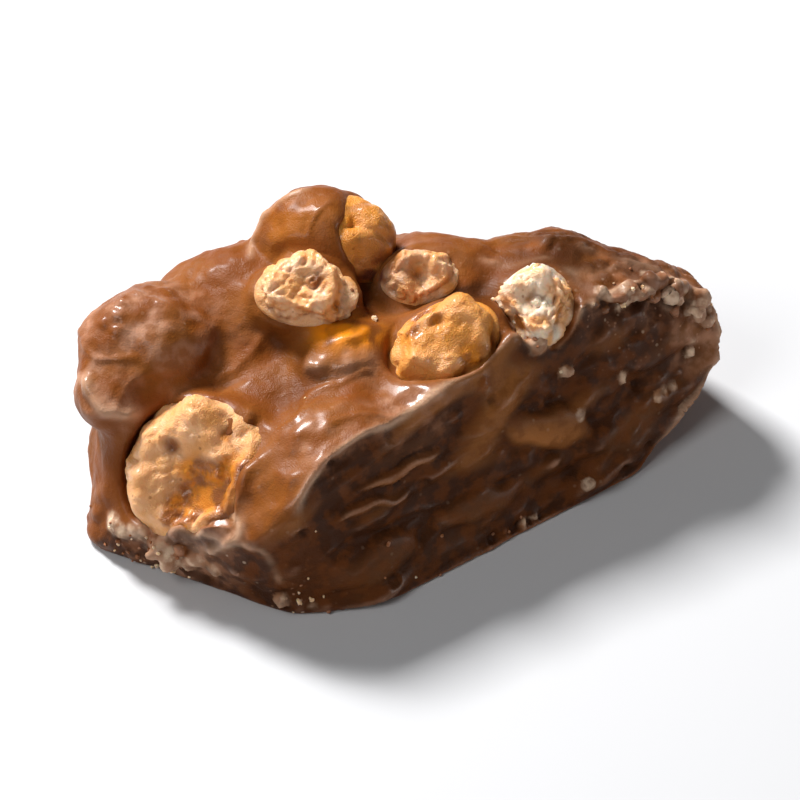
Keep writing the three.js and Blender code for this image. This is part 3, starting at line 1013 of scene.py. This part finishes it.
def chocolate_surface(sizes, quick):
    """The chocolate's points, quads and masks. The relief is added along the mean of the mesh's
    normals and the field's gradient, and fades out towards the bare peanuts, where the skin is
    evened out."""

    def field(at):
        return chocolate_field(at, sizes)

    points, quads = net(field, *NET_BOX, NET_STEPS[quick])
    points = settle(points, quads, field, 5)
    points = drawn_on(points, point_normals(points, quads), field, 0.4)
    out = unit(0.5 * point_normals(points, quads) + 0.5 * unit(field(points)[1]))
    tray = np.maximum(on_cut(points, out, SET_SIDE, 0.5), on_cut(points, out, CORNER, 0.9) * 0.8)
    under = on_cut(points, out, BASE, 0.4)
    ragged = spots(points, ROUGH_SPOTS) * smooth_step(swell(points, 2.6, 31), -0.45, 0.15)
    foot = on_cut(points, out, LOW_FRONT, 0.8)
    height = smooth_side_height(points) * (1 - tray) * sizes["relief"]
    height += set_side_height(points) * tray * sizes["relief"]
    height += rough_side_height(points) * ragged * sizes["relief"]
    fold_height, fold_pale = fold_shares(points)
    line = edge_line(points, sizes["rim"])
    height = (height + fold_height + 0.22 * line) * (1 - bare_share(points))
    nut = nugget_share(points)
    height += (0.34 * swell(points, 0.9, 91) + 0.20 * swell(points, 0.5, 93)) * nut
    points = points + out * (height * (1 - under) * smooth_step(points[:, 2], -0.1, 0.9))[:, None]
    calm = 0.6 * bare_share(points)[:, None]
    for _ in range(10):
        points = points + calm * (neighbour_mean(points, quads) - points)
    points[:, 2] = np.maximum(points[:, 2], 0)
    edge = bulge(points, quads, 12, 2)
    flows = smooth_step(flow_noise(points), 0.0, 0.42)
    upper = smooth_step(points[:, 2], 0, 12)
    masks = {
        # The tray mask covers the set side and the low front, where the finish paints shade.
        "tray": np.maximum(tray, foot),
        "shade": spots(points, SHADE_SPOTS) * smooth_step(swell(points, 1.9, 95), -0.75, 0.1),
        "nut": nut,
        "line": np.maximum(line, fold_pale),
        "light": np.maximum(lens_shares(points)[2], 0.75 * flows * upper) * tray,
        "rough": ragged,
        "scuff": spots(points, SCUFF_AND_HIGHLIGHT_SPOTS) * smooth_step(swell(points, 1.6, 83), -0.5, 0.35),
        "thin": spots(points, THIN_SPOTS) * smooth_step(swell(points, 1.3, 89), -0.6, 0.0),
        "shine": spots(points, SHINE_SPOTS),
        "edge": np.clip(edge / 0.25, -1, 1),
    }
    return points, quads, masks


# ---- Bare peanuts ----


def broken_faces(local, count, radii, salt):
    """How far points move so that an egg gets flat broken faces. Each face has a random direction in
    the upper half and lies at 0.72 to 0.86 of the egg's reach there, and what stands out by x is
    drawn back by 0.85 w log(1 + exp(x / w)), with w the softness of its edge."""
    rng = np.random.default_rng(salt)
    moved = local.copy()
    for _ in range(count):
        turn = rng.uniform(0, 2 * pi)
        rise = rng.uniform(0.15, 0.75)
        way = np.array([cos(turn), sin(turn), rise])
        way = way / np.linalg.norm(way)
        level = np.linalg.norm(radii * way) * rng.uniform(0.72, 0.86)
        stands = moved @ way - level
        moved -= (0.85 * 0.12 * np.logaddexp(0, stands / 0.12))[:, None] * way
    return moved - local


def kernel_surface(name, peanut, segments):
    """A kernel's points, quads and masks. Its egg is raised and dished by bell curves, its split face
    has a broken rim, a whole kernel has a seam, and crumbly ones are grainy all over. Nothing is
    drawn in further than the chocolate lies below the window."""
    shape = peanut["egg"]
    salt = 100 + 7 * list(PEANUTS).index(name)
    rays, quads = ray_grid(segments)
    points = shape["at"] + (rays * shape["radii"]) @ shape["axes"].T
    points = settle(points, quads, lambda at: peanut_field(at, peanut)[0], 12)
    out = unit(peanut_field(points, peanut)[0][1])
    local = (points - shape["at"]) @ shape["axes"]
    breaks = broken_faces(local, peanut["facets"], shape["radii"], salt)
    window = window_edge(peanut, local)
    bare = smooth_step(window, -0.6, 0.5)
    face = smooth_step(out @ shape["axes"][:, 2], 0.55, 0.9) * (peanut["flat"] < 1)
    ring = np.sqrt(((local[:, :2] / shape["radii"][:2]) ** 2).sum(1)) + 0.12 * swell(points, 2.4, salt + 2)
    rim = face * np.exp(-(((ring - 0.60) / 0.15) ** 2))
    seam = np.exp(-((local[:, 1] / 0.30) ** 2)) * (peanut["flat"] > 1)
    height = 0.45 * swell(points, 3.0, salt) + 0.20 * swell(points, 1.5, salt + 1) - 0.22 * seam
    height += 0.18 * rim * (1 + 2 * swell(points, 1.4, salt + 2))
    dish = np.zeros(len(points))
    for at, reach, rise in peanut["lumps"]:
        bell = np.exp(-((points - np.array(at)) ** 2).sum(1) / reach**2)
        height += rise * bell
        dish = np.maximum(dish, bell * np.clip(-1.4 * rise, 0, 1))
    dish = smooth_step(dish + 0.16 * swell(points, 1.0, salt + 10), 0.16, 0.55)
    first, second = pebbles(points, 1.25 - 0.35 * peanut["white"], salt + 3)
    tiny, _ = pebbles(points, 0.6, salt + 4)
    crumbly = 0.32 * smooth_step(second - first, 0.0, 0.45) - 0.2 + 0.25 * (0.45 - tiny)
    crumbly = crumbly + 0.2 * swell(points, 0.5, salt + 8)
    crumbly = crumbly * peanut["grain"] * (0.3 + 0.7 * smooth_step(swell(points, 2.2, salt + 5), -0.4, 0.2))
    move = (out * (height + crumbly)[:, None] + breaks @ shape["axes"].T) * bare[:, None]
    inward = -(move * out).sum(1) - 0.1 - 0.95 * smooth_step(window, 0.1, 1.3)
    points = points + move + out * np.maximum(inward, 0)[:, None]
    points[:, 2] = np.maximum(points[:, 2], 0.3)
    stain = spots(points, STAINS) * (0.75 + 0.7 * swell(points, 0.9, salt + 11))
    stain = stain + 0.4 * (1 - face) * smooth_step(swell(points, 1.8, salt + 7), 0.15, 0.6)
    masks = {
        "toast": np.clip(peanut["toast"] + 0.45 * swell(points, 2.0, salt + 6) - 0.25 * rim, 0, 1),
        "white": peanut["white"] * smooth_step(swell(points, 1.6, salt + 9), -0.35, 0.25),
        "dish": dish,
        "stain": np.clip(stain, 0, 1),
        "edge": np.clip(bulge(points, quads, 8, 1) / 0.2, -1, 1),
    }
    return points, quads, masks


# ---- Crumbs ----


def crumbs_on(points, out, weight, count, smallest, largest, rng):
    """Small chunks: a cube's grid of 24 quads blown up to a sphere, each point drawn in or out, the
    whole stretched, turned at random and sunk nearly to its middle at a point drawn by weight."""
    rays, quads = ray_grid(2)
    chosen = rng.choice(len(points), count, replace=False, p=weight / weight.sum())
    size = smallest + (largest - smallest) * rng.random(count) ** 3
    shape = rays[None] * rng.uniform(0.72, 1.15, (count, len(rays), 1))
    shape = shape * rng.uniform(0.6, 1.2, (count, 1, 3))
    turned = np.linalg.qr(rng.normal(size=(count, 3, 3)))[0]
    turned = turned * np.sign(np.linalg.det(turned))[:, None, None]
    shape = np.einsum("nij,nkj->nki", turned, shape) * (size / 2)[:, None, None]
    middle = points[chosen] + out[chosen] * (size * 0.04)[:, None]
    middle[:, 2] = np.maximum(middle[:, 2], size * 0.62)
    every = (shape + middle[:, None, :]).reshape(-1, 3)
    faces = (quads[None] + len(rays) * np.arange(count)[:, None, None]).reshape(-1, 4)
    return every, faces


# ---- Finishes ----


class Tree:
    """Adds nodes to a node tree. A value is a number, a colour or another node's socket."""

    def __init__(self, tree):
        self.tree = tree

    def add(self, kind, values, result=0, **settings):
        """A node of a kind with values for some of its sockets, by name or number."""
        node = self.tree.nodes.new(kind)
        for name, setting in settings.items():
            setattr(node, name, setting)
        for name, value in values.items():
            if isinstance(value, bpy.types.NodeSocket):
                self.tree.links.new(value, node.inputs[name])
            else:
                node.inputs[name].default_value = value
        return node.outputs[result]

    def attribute(self, name):
        """A mask stored on the mesh."""
        return self.add("ShaderNodeAttribute", {}, "Fac", attribute_name=name)

    def times(self, first, second):
        """A product, kept from 0 to 1."""
        return self.add("ShaderNodeMath", {0: first, 1: second}, operation="MULTIPLY", use_clamp=True)

    def plus(self, first, second):
        """A sum, kept from 0 to 1."""
        return self.add("ShaderNodeMath", {0: first, 1: second}, operation="ADD", use_clamp=True)

    def mask(self, value, low, high):
        """0 below low, 1 above high, and smooth between them."""
        values = {0: value, 1: low, 2: high}
        return self.add("ShaderNodeMapRange", values, interpolation_type="SMOOTHSTEP")

    def scale(self, value, low, high):
        """A mask from 0 to 1 made to run from low to high."""
        return self.add("ShaderNodeMapRange", {0: value, 3: low, 4: high})

    def mix(self, share, first, second):
        """Two colours mixed by a share."""
        return self.add("ShaderNodeMix", {0: share, 6: first, 7: second}, 2, data_type="RGBA")

    def layers(self, base, table):
        """Colours laid over a base one after another, each by its share."""
        for share, colour in table:
            base = self.mix(share, base, colour)
        return base


def node_group(name, inputs, build):
    """A group with a vector, named number inputs and one number output, filled in by a function."""
    group = bpy.data.node_groups.new(name, "ShaderNodeTree")
    group.interface.new_socket("Vector", in_out="INPUT", socket_type="NodeSocketVector")
    for socket, default in inputs.items():
        way_in = group.interface.new_socket(socket, in_out="INPUT", socket_type="NodeSocketFloat")
        way_in.default_value = default
    group.interface.new_socket("Value", in_out="OUTPUT", socket_type="NodeSocketFloat")
    tree = Tree(group)
    ways_in = group.nodes.new("NodeGroupInput").outputs
    way_out = group.nodes.new("NodeGroupOutput").inputs[0]
    group.links.new(build(tree, ways_in), way_out)
    return group


def build_patches(tree, ways_in):
    """Uneven patches: noise with features about `Size` mm across, made a mask from Low to High."""
    scale = tree.add("ShaderNodeMath", {0: 1 / MM, 1: ways_in["Size"]}, operation="DIVIDE")
    noise = tree.add("ShaderNodeTexNoise", {"Vector": ways_in["Vector"], "Scale": scale, "Detail": 3.0})
    return tree.mask(noise, ways_in["Low"], ways_in["High"])


def build_grain(tree, ways_in):
    """A fine grain: noise at one size with a smaller one on it, as a height from 0 to 1."""
    scale = tree.add("ShaderNodeMath", {0: 1 / MM, 1: ways_in["Size"]}, operation="DIVIDE")
    coarse = tree.add("ShaderNodeTexNoise", {"Vector": ways_in["Vector"], "Scale": scale, "Detail": 4.0})
    finer = tree.add("ShaderNodeMath", {0: scale, 1: 3.1}, operation="MULTIPLY")
    cells = tree.add("ShaderNodeTexVoronoi", {"Vector": ways_in["Vector"], "Scale": finer})
    share = tree.add("ShaderNodeMath", {0: cells, 1: ways_in["Cells"]}, operation="MULTIPLY")
    return tree.add("ShaderNodeMath", {0: coarse, 1: share}, operation="ADD")


def build_specks(tree, ways_in):
    """Scattered round specks: cells `Size` mm across, with a speck of a share of that in some."""
    scale = tree.add("ShaderNodeMath", {0: 1 / MM, 1: ways_in["Size"]}, operation="DIVIDE")
    cells = tree.tree.nodes.new("ShaderNodeTexVoronoi")
    tree.tree.links.new(ways_in["Vector"], cells.inputs["Vector"])
    tree.tree.links.new(scale, cells.inputs["Scale"])
    inner = tree.add("ShaderNodeMath", {0: ways_in["Reach"], 1: 0.5}, operation="MULTIPLY")
    fading = {0: cells.outputs["Distance"], 1: inner, 2: ways_in["Reach"], 3: 1.0, 4: 0.0}
    speck = tree.add("ShaderNodeMapRange", fading)
    colour = tree.add("ShaderNodeSeparateColor", {0: cells.outputs["Color"]})
    some = tree.add("ShaderNodeMath", {0: colour, 1: ways_in["Share"]}, operation="LESS_THAN")
    return tree.times(speck, some)


def effect_groups():
    """The shared effects, made once."""
    if "Uneven patches" not in bpy.data.node_groups:
        node_group("Uneven patches", {"Size": 2.0, "Low": 0.4, "High": 0.6}, build_patches)
        node_group("Fine grain", {"Size": 0.5, "Cells": 0.3}, build_grain)
        node_group("Scattered specks", {"Size": 1.0, "Reach": 0.15, "Share": 0.5}, build_specks)
    return bpy.data.node_groups


def effect(tree, name, vector, **values):
    """One of the shared effects, placed with its own values."""
    node = tree.tree.nodes.new("ShaderNodeGroup")
    node.node_tree = effect_groups()[name]
    tree.tree.links.new(vector, node.inputs["Vector"])
    for socket, value in values.items():
        node.inputs[socket].default_value = value
    return node.outputs[0]


def new_finish(name):
    """A material with its tree, its Principled shader and Object coordinates."""
    material = bpy.data.materials.new(name)
    material.use_nodes = True
    tree = Tree(material.node_tree)
    shader = material.node_tree.nodes["Principled BSDF"]
    place = tree.add("ShaderNodeTexCoord", {}, "Object")
    return material, tree, shader, place


def rgba(colour):
    """A colour property as the four numbers that a socket takes."""
    return (*colour, 1.0)


def bumped(tree, height, distance, strength):
    """The normal of a Bump node fed by a height."""
    return tree.add("ShaderNodeBump", {"Height": height, "Distance": distance * MM, "Strength": strength})


def fill_shader(tree, shader, varied, plain_values):
    """Links what varies over the surface to the shader's sockets, and sets the plain values."""
    for socket, way_out in varied.items():
        tree.tree.links.new(way_out, shader.inputs[socket])
    for socket, value in plain_values.items():
        shader.inputs[socket].default_value = value


def chocolate_finish(colours):
    """Milk chocolate: brown with lighter swirls, amber where it is thin over a nut, pinkish bloom on
    scuffed tops with painted highlights among it, matt where it set on the tray, with painted shade there
    and in creases, pale on edges by wear and painted sheen, with nut dust."""
    name = "Milk chocolate"
    if name in bpy.data.materials:
        return bpy.data.materials[name]
    material, tree, shader, place = new_finish(name)
    tray = tree.attribute("tray")
    rough = tree.attribute("rough")
    scuff = tree.attribute("scuff")
    thin = tree.attribute("thin")
    edge = tree.attribute("edge")
    swirl = effect(tree, "Uneven patches", place, Size=4.2, Low=0.38, High=0.66)
    cloud = effect(tree, "Uneven patches", place, Size=1.3, Low=0.42, High=0.62)
    dust = effect(tree, "Scattered specks", place, Size=1.15, Reach=0.17, Share=0.35)
    grit = effect(tree, "Scattered specks", place, Size=0.55, Reach=0.26, Share=0.5)
    grain = effect(tree, "Fine grain", place, Size=0.42, Cells=0.35)
    # Pale bloom on scuffed tops, partly a painted highlight.
    bloom_and_highlight = tree.times(scuff, tree.scale(cloud, 0.35, 1.0))
    streaks = tree.times(tree.times(tray, cloud), 0.40)
    light = tree.times(tree.attribute("light"), tree.scale(cloud, 1.0, 0.6))
    # Painted shade in the creases, where the surface is hollow.
    hollow = tree.times(tree.mask(edge, -0.05, -0.8), 0.6)
    # Pale on convex edges: wear, and painted sheen, strongest on the set side.
    worn_and_sheen = tree.times(tree.mask(edge, 0.2, 0.9), tree.scale(tray, 0.35, 0.55))
    dusty = tree.times(dust, tree.plus(rough, 0.07))
    gritty = tree.times(grit, tree.times(rough, 0.8))
    shown = tree.times(tree.attribute("nut"), tree.scale(cloud, 0.3, 1.0))
    base = tree.layers(rgba(colours.milk), [
        (tree.times(swirl, 0.6), rgba(colours.milk_light)),
        # Painted shade over the set side and the low front.
        (tree.times(tray, 0.92), rgba(colours.painted_shade)),
        (streaks, rgba(colours.milk)),
        (light, rgba(colours.patch)),
        (hollow, rgba(colours.painted_shade)),
        (thin, rgba(colours.amber)),
        (bloom_and_highlight, rgba(colours.bloom_and_highlight)),
        (worn_and_sheen, rgba(colours.bloom_and_highlight)),
        (dusty, rgba(colours.crumb)),
        (gritty, rgba(colours.bloom_and_highlight)),
        (tree.times(tree.attribute("shade"), 0.95), rgba(colours.painted_shade)),
        # Pale lines on the cuts' edges and on the folds: partly wear, partly a painted highlight.
        (tree.times(tree.attribute("line"), 0.85), rgba(colours.line)),
        (shown, rgba(colours.crumb)),
    ])
    dull = tree.plus(tree.times(tray, 0.06), tree.times(rough, 0.16))
    dull = tree.plus(dull, tree.times(bloom_and_highlight, 0.14))
    dull = tree.plus(dull, tree.scale(cloud, 0.38, 0.50))
    wet = tree.times(tree.mask(edge, -0.1, 0.6), tree.scale(swirl, 0.10, 0.42))
    wet = tree.plus(wet, tree.times(tree.attribute("shine"), 0.7))
    varied = {
        "Base Color": base,
        "Roughness": dull,
        "Coat Weight": wet,
        "Normal": bumped(tree, grain, 0.11, 0.55),
    }
    fill_shader(tree, shader, varied, {
        "Coat Roughness": 0.18,
        "Specular IOR Level": 0.08,
        "Subsurface Weight": 0.08,
        "Subsurface Radius": (1.0, 0.35, 0.15),
        "Subsurface Scale": 0.6 * MM,
    })
    return material


def peanut_finish(colours):
    """Roasted peanut: cream to toasted gold, browner in the dish, with scraps of brown skin and
    chocolate smears, and a mealy grain."""
    name = "Roasted peanut"
    if name in bpy.data.materials:
        return bpy.data.materials[name]
    material, tree, shader, place = new_finish(name)
    toast = tree.attribute("toast")
    dish = tree.attribute("dish")
    white = tree.attribute("white")
    stain = tree.attribute("stain")
    edge = tree.attribute("edge")
    patch = effect(tree, "Uneven patches", place, Size=1.6, Low=0.40, High=0.62)
    specks = effect(tree, "Scattered specks", place, Size=0.8, Reach=0.22, Share=0.3)
    grain = effect(tree, "Fine grain", place, Size=0.38, Cells=0.6)
    deep = tree.mix(patch, rgba(colours.toasted), rgba(colours.nut_amber))
    base = tree.layers(rgba(colours.cream), [
        (toast, rgba(colours.golden)),
        (tree.times(patch, 0.3), rgba(colours.golden)),
        (tree.times(white, tree.scale(patch, 1.0, 0.6)), rgba(colours.white)),
        (tree.times(dish, 0.95), deep),
        # Painted shade in the kernel's creases, then lighter cream on its ridges.
        (tree.times(tree.mask(edge, -0.1, -1.0), 0.75), rgba(colours.toasted)),
        (tree.times(tree.mask(edge, 0.3, 0.9), 0.5), rgba(colours.cream)),
        (stain, rgba(colours.skin)),
        (tree.times(specks, 0.6), rgba(colours.toasted)),
    ])
    varied = {
        "Base Color": base,
        "Roughness": tree.scale(patch, 0.36, 0.52),
        "Coat Weight": tree.scale(patch, 0.38, 0.06),
        "Normal": bumped(tree, grain, 0.13, 0.7),
    }
    fill_shader(tree, shader, varied, {
        "Coat Roughness": 0.16,
        "Specular IOR Level": 0.3,
        "Subsurface Weight": 0.3,
        "Subsurface Radius": (1.0, 0.55, 0.25),
        "Subsurface Scale": 0.8 * MM,
    })
    return material


def floor_finish(colours):
    """A pale plain floor with a faint unevenness."""
    material, tree, shader, place = new_finish("Pale floor")
    faint = effect(tree, "Uneven patches", place, Size=60.0, Low=0.3, High=0.7)
    base = tree.mix(tree.times(faint, 0.03), rgba(colours.floor), rgba(colours.floor_patch))
    fill_shader(tree, shader, {"Base Color": base}, {"Roughness": 0.75})
    return material


# ---- The add-on ----


class ClusterSizes(bpy.types.PropertyGroup):
    """Sizes of the surface."""

    coat: FloatProperty(
        name="Coat", description="Thickness of the chocolate over the side of a bare peanut",
        default=0.35 * MM, min=0.0, soft_max=0.8 * MM, precision=5, unit="LENGTH",
    )
    sunk: FloatProperty(
        name="Window depth", description="How far the chocolate lies below a peanut's bare surface",
        default=1.25 * MM, min=0.1 * MM, soft_max=2.0 * MM, precision=5, unit="LENGTH",
    )
    relief: FloatProperty(
        name="Relief", description="Strength of the chocolate's swells, clumps and streaks",
        default=1.0, min=0.0, soft_max=2.0, subtype="FACTOR",
    )
    rim: FloatProperty(
        name="Edge line", description="Width of the thin pale line round the dark side",
        default=0.42 * MM, min=0.0, soft_max=1.5 * MM, precision=5, unit="LENGTH",
    )
    crumb: FloatProperty(
        name="Largest crumb", description="Width of the largest loose crumb",
        default=0.7 * MM, min=0.2 * MM, soft_max=2.0 * MM, precision=5, unit="LENGTH",
    )
    crumbs: IntProperty(
        name="Crumbs", description="How many loose crumbs lie on the cluster",
        default=100, min=0, soft_max=2000,
    )


def colour_property(name, description, default):
    """A colour that a user can change."""
    return FloatVectorProperty(
        name=name, description=description, default=default, size=3, min=0, max=1, subtype="COLOR",
    )


class ClusterColours(bpy.types.PropertyGroup):
    """Colours of the finishes."""

    milk: colour_property("Milk chocolate", "The smooth skin", (0.185, 0.050, 0.008))
    milk_light: colour_property("Light swirl", "Lighter swirls in the skin", (0.255, 0.085, 0.016))
    # Painted shade: the set side, the low front, the creases and the shade spots are darkened to this
    # colour.
    painted_shade: colour_property("Dark side", "Where it set on a tray, and in creases", (0.038, 0.012, 0.0045))
    patch: colour_property("Smooth patch", "Lighter patches of the dark side", (0.34, 0.122, 0.030))
    amber: colour_property("Amber", "Where the chocolate is thin over a nut", (0.95, 0.30, 0.008))
    # Partly wear, partly a painted highlight.
    line: colour_property("Edge line", "The thin line round the dark side", (0.58, 0.36, 0.23))
    # Pale bloom, grit and wear, partly painted highlights and sheen.
    bloom_and_highlight: colour_property("Bloom", "Scuffed tops and worn edges", (0.50, 0.260, 0.160))
    crumb: colour_property("Nut dust", "Specks of nut in the chocolate", (0.72, 0.52, 0.36))
    cream: colour_property("Cream", "Pale bare peanut", (0.86, 0.44, 0.19))
    white: colour_property("White", "Pale crumbly peanut", (0.90, 0.74, 0.56))
    golden: colour_property("Golden", "Roasted peanut", (0.66, 0.25, 0.030))
    nut_amber: colour_property("Amber dish", "Clearer patches in a split peanut's dish", (0.70, 0.23, 0.008))
    toasted: colour_property("Toasted", "Browner patches in a split peanut's dish", (0.30, 0.085, 0.007))
    skin: colour_property("Peanut skin", "Scraps of brown skin", (0.150, 0.040, 0.020))
    floor: colour_property("Floor", "The floor under the cluster", (0.60, 0.60, 0.61))
    floor_patch: colour_property("Floor patches", "Faint patches of the floor", (0.52, 0.52, 0.54))


def sizes_in_mm(context):
    """The sizes as the functions take them: lengths in mm, and the relief as it is."""
    sizes = context.scene.cluster_sizes
    lengths = {name: getattr(sizes, name) / MM for name in ("coat", "sunk", "rim", "crumb")}
    return {**lengths, "relief": sizes.relief}


def dress(piece, material, slot, *nodes):
    """Gives a piece its finish and its body, and hides the solids that it stands for. The slot is not used.
    """
    piece.data.materials.append(material)
    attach(piece, "root")
    if nodes:
        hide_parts(*nodes)


class CLUSTER_OT_chocolate(bpy.types.Operator):
    """Make the chocolate, with its relief, in place of its solid"""

    bl_idname = "cluster.chocolate"
    bl_label = "Chocolate"

    def execute(self, context):
        points, quads, masks = chocolate_surface(sizes_in_mm(context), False)
        piece = add_piece("chocolate_skin", points, quads, masks)
        dress(piece, chocolate_finish(context.scene.cluster_colours), "milk_chocolate", "chocolate")
        return {"FINISHED"}


class CLUSTER_OT_peanuts(bpy.types.Operator):
    """Make the six bare peanuts in place of their solids"""

    bl_idname = "cluster.peanuts"
    bl_label = "Bare peanuts"

    def execute(self, context):
        for name, peanut in PEANUTS.items():
            segments = max(16, round(max(peanut["egg"]["radii"]) * KERNEL_CUTS[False]))
            points, quads, masks = kernel_surface(name, peanut, segments)
            piece = add_piece(name.replace("peanut", "kernel"), points, quads, masks)
            dress(piece, peanut_finish(context.scene.cluster_colours), "roasted_peanut", name)
        return {"FINISHED"}


class CLUSTER_OT_crumbs(bpy.types.Operator):
    """Scatter crumbs of peanut and of chocolate over the rough stretches"""

    bl_idname = "cluster.crumbs"
    bl_label = "Crumbs"

    def execute(self, context):
        skin = bpy.data.objects["chocolate_skin"].data
        points = np.empty(len(skin.vertices) * 3)
        out = np.empty(len(skin.vertices) * 3)
        skin.vertices.foreach_get("co", points)
        skin.vertices.foreach_get("normal", out)
        points = points.reshape(-1, 3) / MM + MIDDLE
        out = out.reshape(-1, 3)
        largest = sizes_in_mm(context)["crumb"]
        count = context.scene.cluster_sizes.crumbs
        rng = np.random.default_rng(CRUMB_SEED)
        weight = spots(points, CRUMB_SPOTS) ** 2 + 0.002
        kinds = (
            ("peanut_crumbs", count // 2, "white", peanut_finish, "roasted_peanut"),
            ("chocolate_crumbs", count - count // 2, "scuff", chocolate_finish, "milk_chocolate"),
        )
        for name, share, mask, finish, slot in kinds:
            made = crumbs_on(points, out, weight, share, SMALLEST_CRUMB, largest, rng)
            crumbs = add_piece(name, *made, {mask: np.full(len(made[0]), 0.6)}, smooth=False)
            dress(crumbs, finish(context.scene.cluster_colours), slot)
        return {"FINISHED"}


class CLUSTER_OT_stage(bpy.types.Operator):
    """Make the floor, the lights and the camera"""

    bl_idname = "cluster.stage"
    bl_label = "Stage"

    def execute(self, context):
        scene = context.scene
        corners = np.array([[-1, -1, 0], [1, -1, 0], [1, 1, 0], [-1, 1, 0]]) * FLOOR_REACH + MIDDLE
        floor = add_piece("floor", corners, [[0, 1, 2, 3]])
        floor.data.materials.append(floor_finish(scene.cluster_colours))
        for name, at, width, power in LIGHTS:
            light = bpy.data.lights.new(name, "AREA")
            light.size = width
            light.energy = power
            lamp = bpy.data.objects.new(name, light)
            lamp.location = at
            lamp.rotation_euler = (Vector(AIM) - Vector(at)).to_track_quat("-Z", "Y").to_euler()
            scene.collection.objects.link(lamp)
        world = bpy.data.worlds.new("Pale room")
        world.use_nodes = True
        room = world.node_tree.nodes["Background"].inputs
        room["Color"].default_value = ROOM_COLOUR
        room["Strength"].default_value = ROOM_LIGHT
        scene.world = world
        lens = bpy.data.cameras.new("camera")
        lens.lens = LENS
        lens.sensor_width = SENSOR
        lens.clip_start = 0.01
        camera = bpy.data.objects.new("camera", lens)
        back = Vector((0, -cos(VIEW_HEIGHT), sin(VIEW_HEIGHT)))
        camera.location = Vector(AIM) + back * (FRAME_WIDTH * LENS / SENSOR)
        camera.rotation_euler = (-back).to_track_quat("-Z", "Y").to_euler()
        scene.collection.objects.link(camera)
        scene.camera = camera
        scene.view_settings.view_transform = "Standard"
        return {"FINISHED"}


OPERATORS = [
    CLUSTER_OT_chocolate,
    CLUSTER_OT_peanuts,
    CLUSTER_OT_crumbs,
    CLUSTER_OT_stage,
]


class CLUSTER_PT_panel(bpy.types.Panel):
    """The cluster's sizes, colours and steps"""

    bl_idname = "CLUSTER_PT_panel"
    bl_label = "Chocolate Peanut Cluster"
    bl_space_type = "VIEW_3D"
    bl_region_type = "UI"
    bl_category = "Cluster"

    def draw(self, context):
        for group in (context.scene.cluster_sizes, context.scene.cluster_colours):
            for name in group.__annotations__:
                self.layout.prop(group, name)
        for operator in OPERATORS:
            self.layout.operator(operator.bl_idname)


CLASSES = [ClusterSizes, ClusterColours, *OPERATORS, CLUSTER_PT_panel]


def register():
    """Adds the classes and the scene's sizes and colours."""
    for kind in CLASSES:
        bpy.utils.register_class(kind)
    bpy.types.Scene.cluster_sizes = PointerProperty(type=ClusterSizes)
    bpy.types.Scene.cluster_colours = PointerProperty(type=ClusterColours)


def unregister():
    """Takes them away again."""
    del bpy.types.Scene.cluster_colours
    del bpy.types.Scene.cluster_sizes
    for kind in reversed(CLASSES):
        bpy.utils.unregister_class(kind)


def main():
    """Registers the add-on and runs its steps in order."""
    register()
    bpy.ops.cluster.chocolate()
    bpy.ops.cluster.peanuts()
    bpy.ops.cluster.crumbs()
    bpy.ops.cluster.stage()


if __name__ == "__main__":
    main()
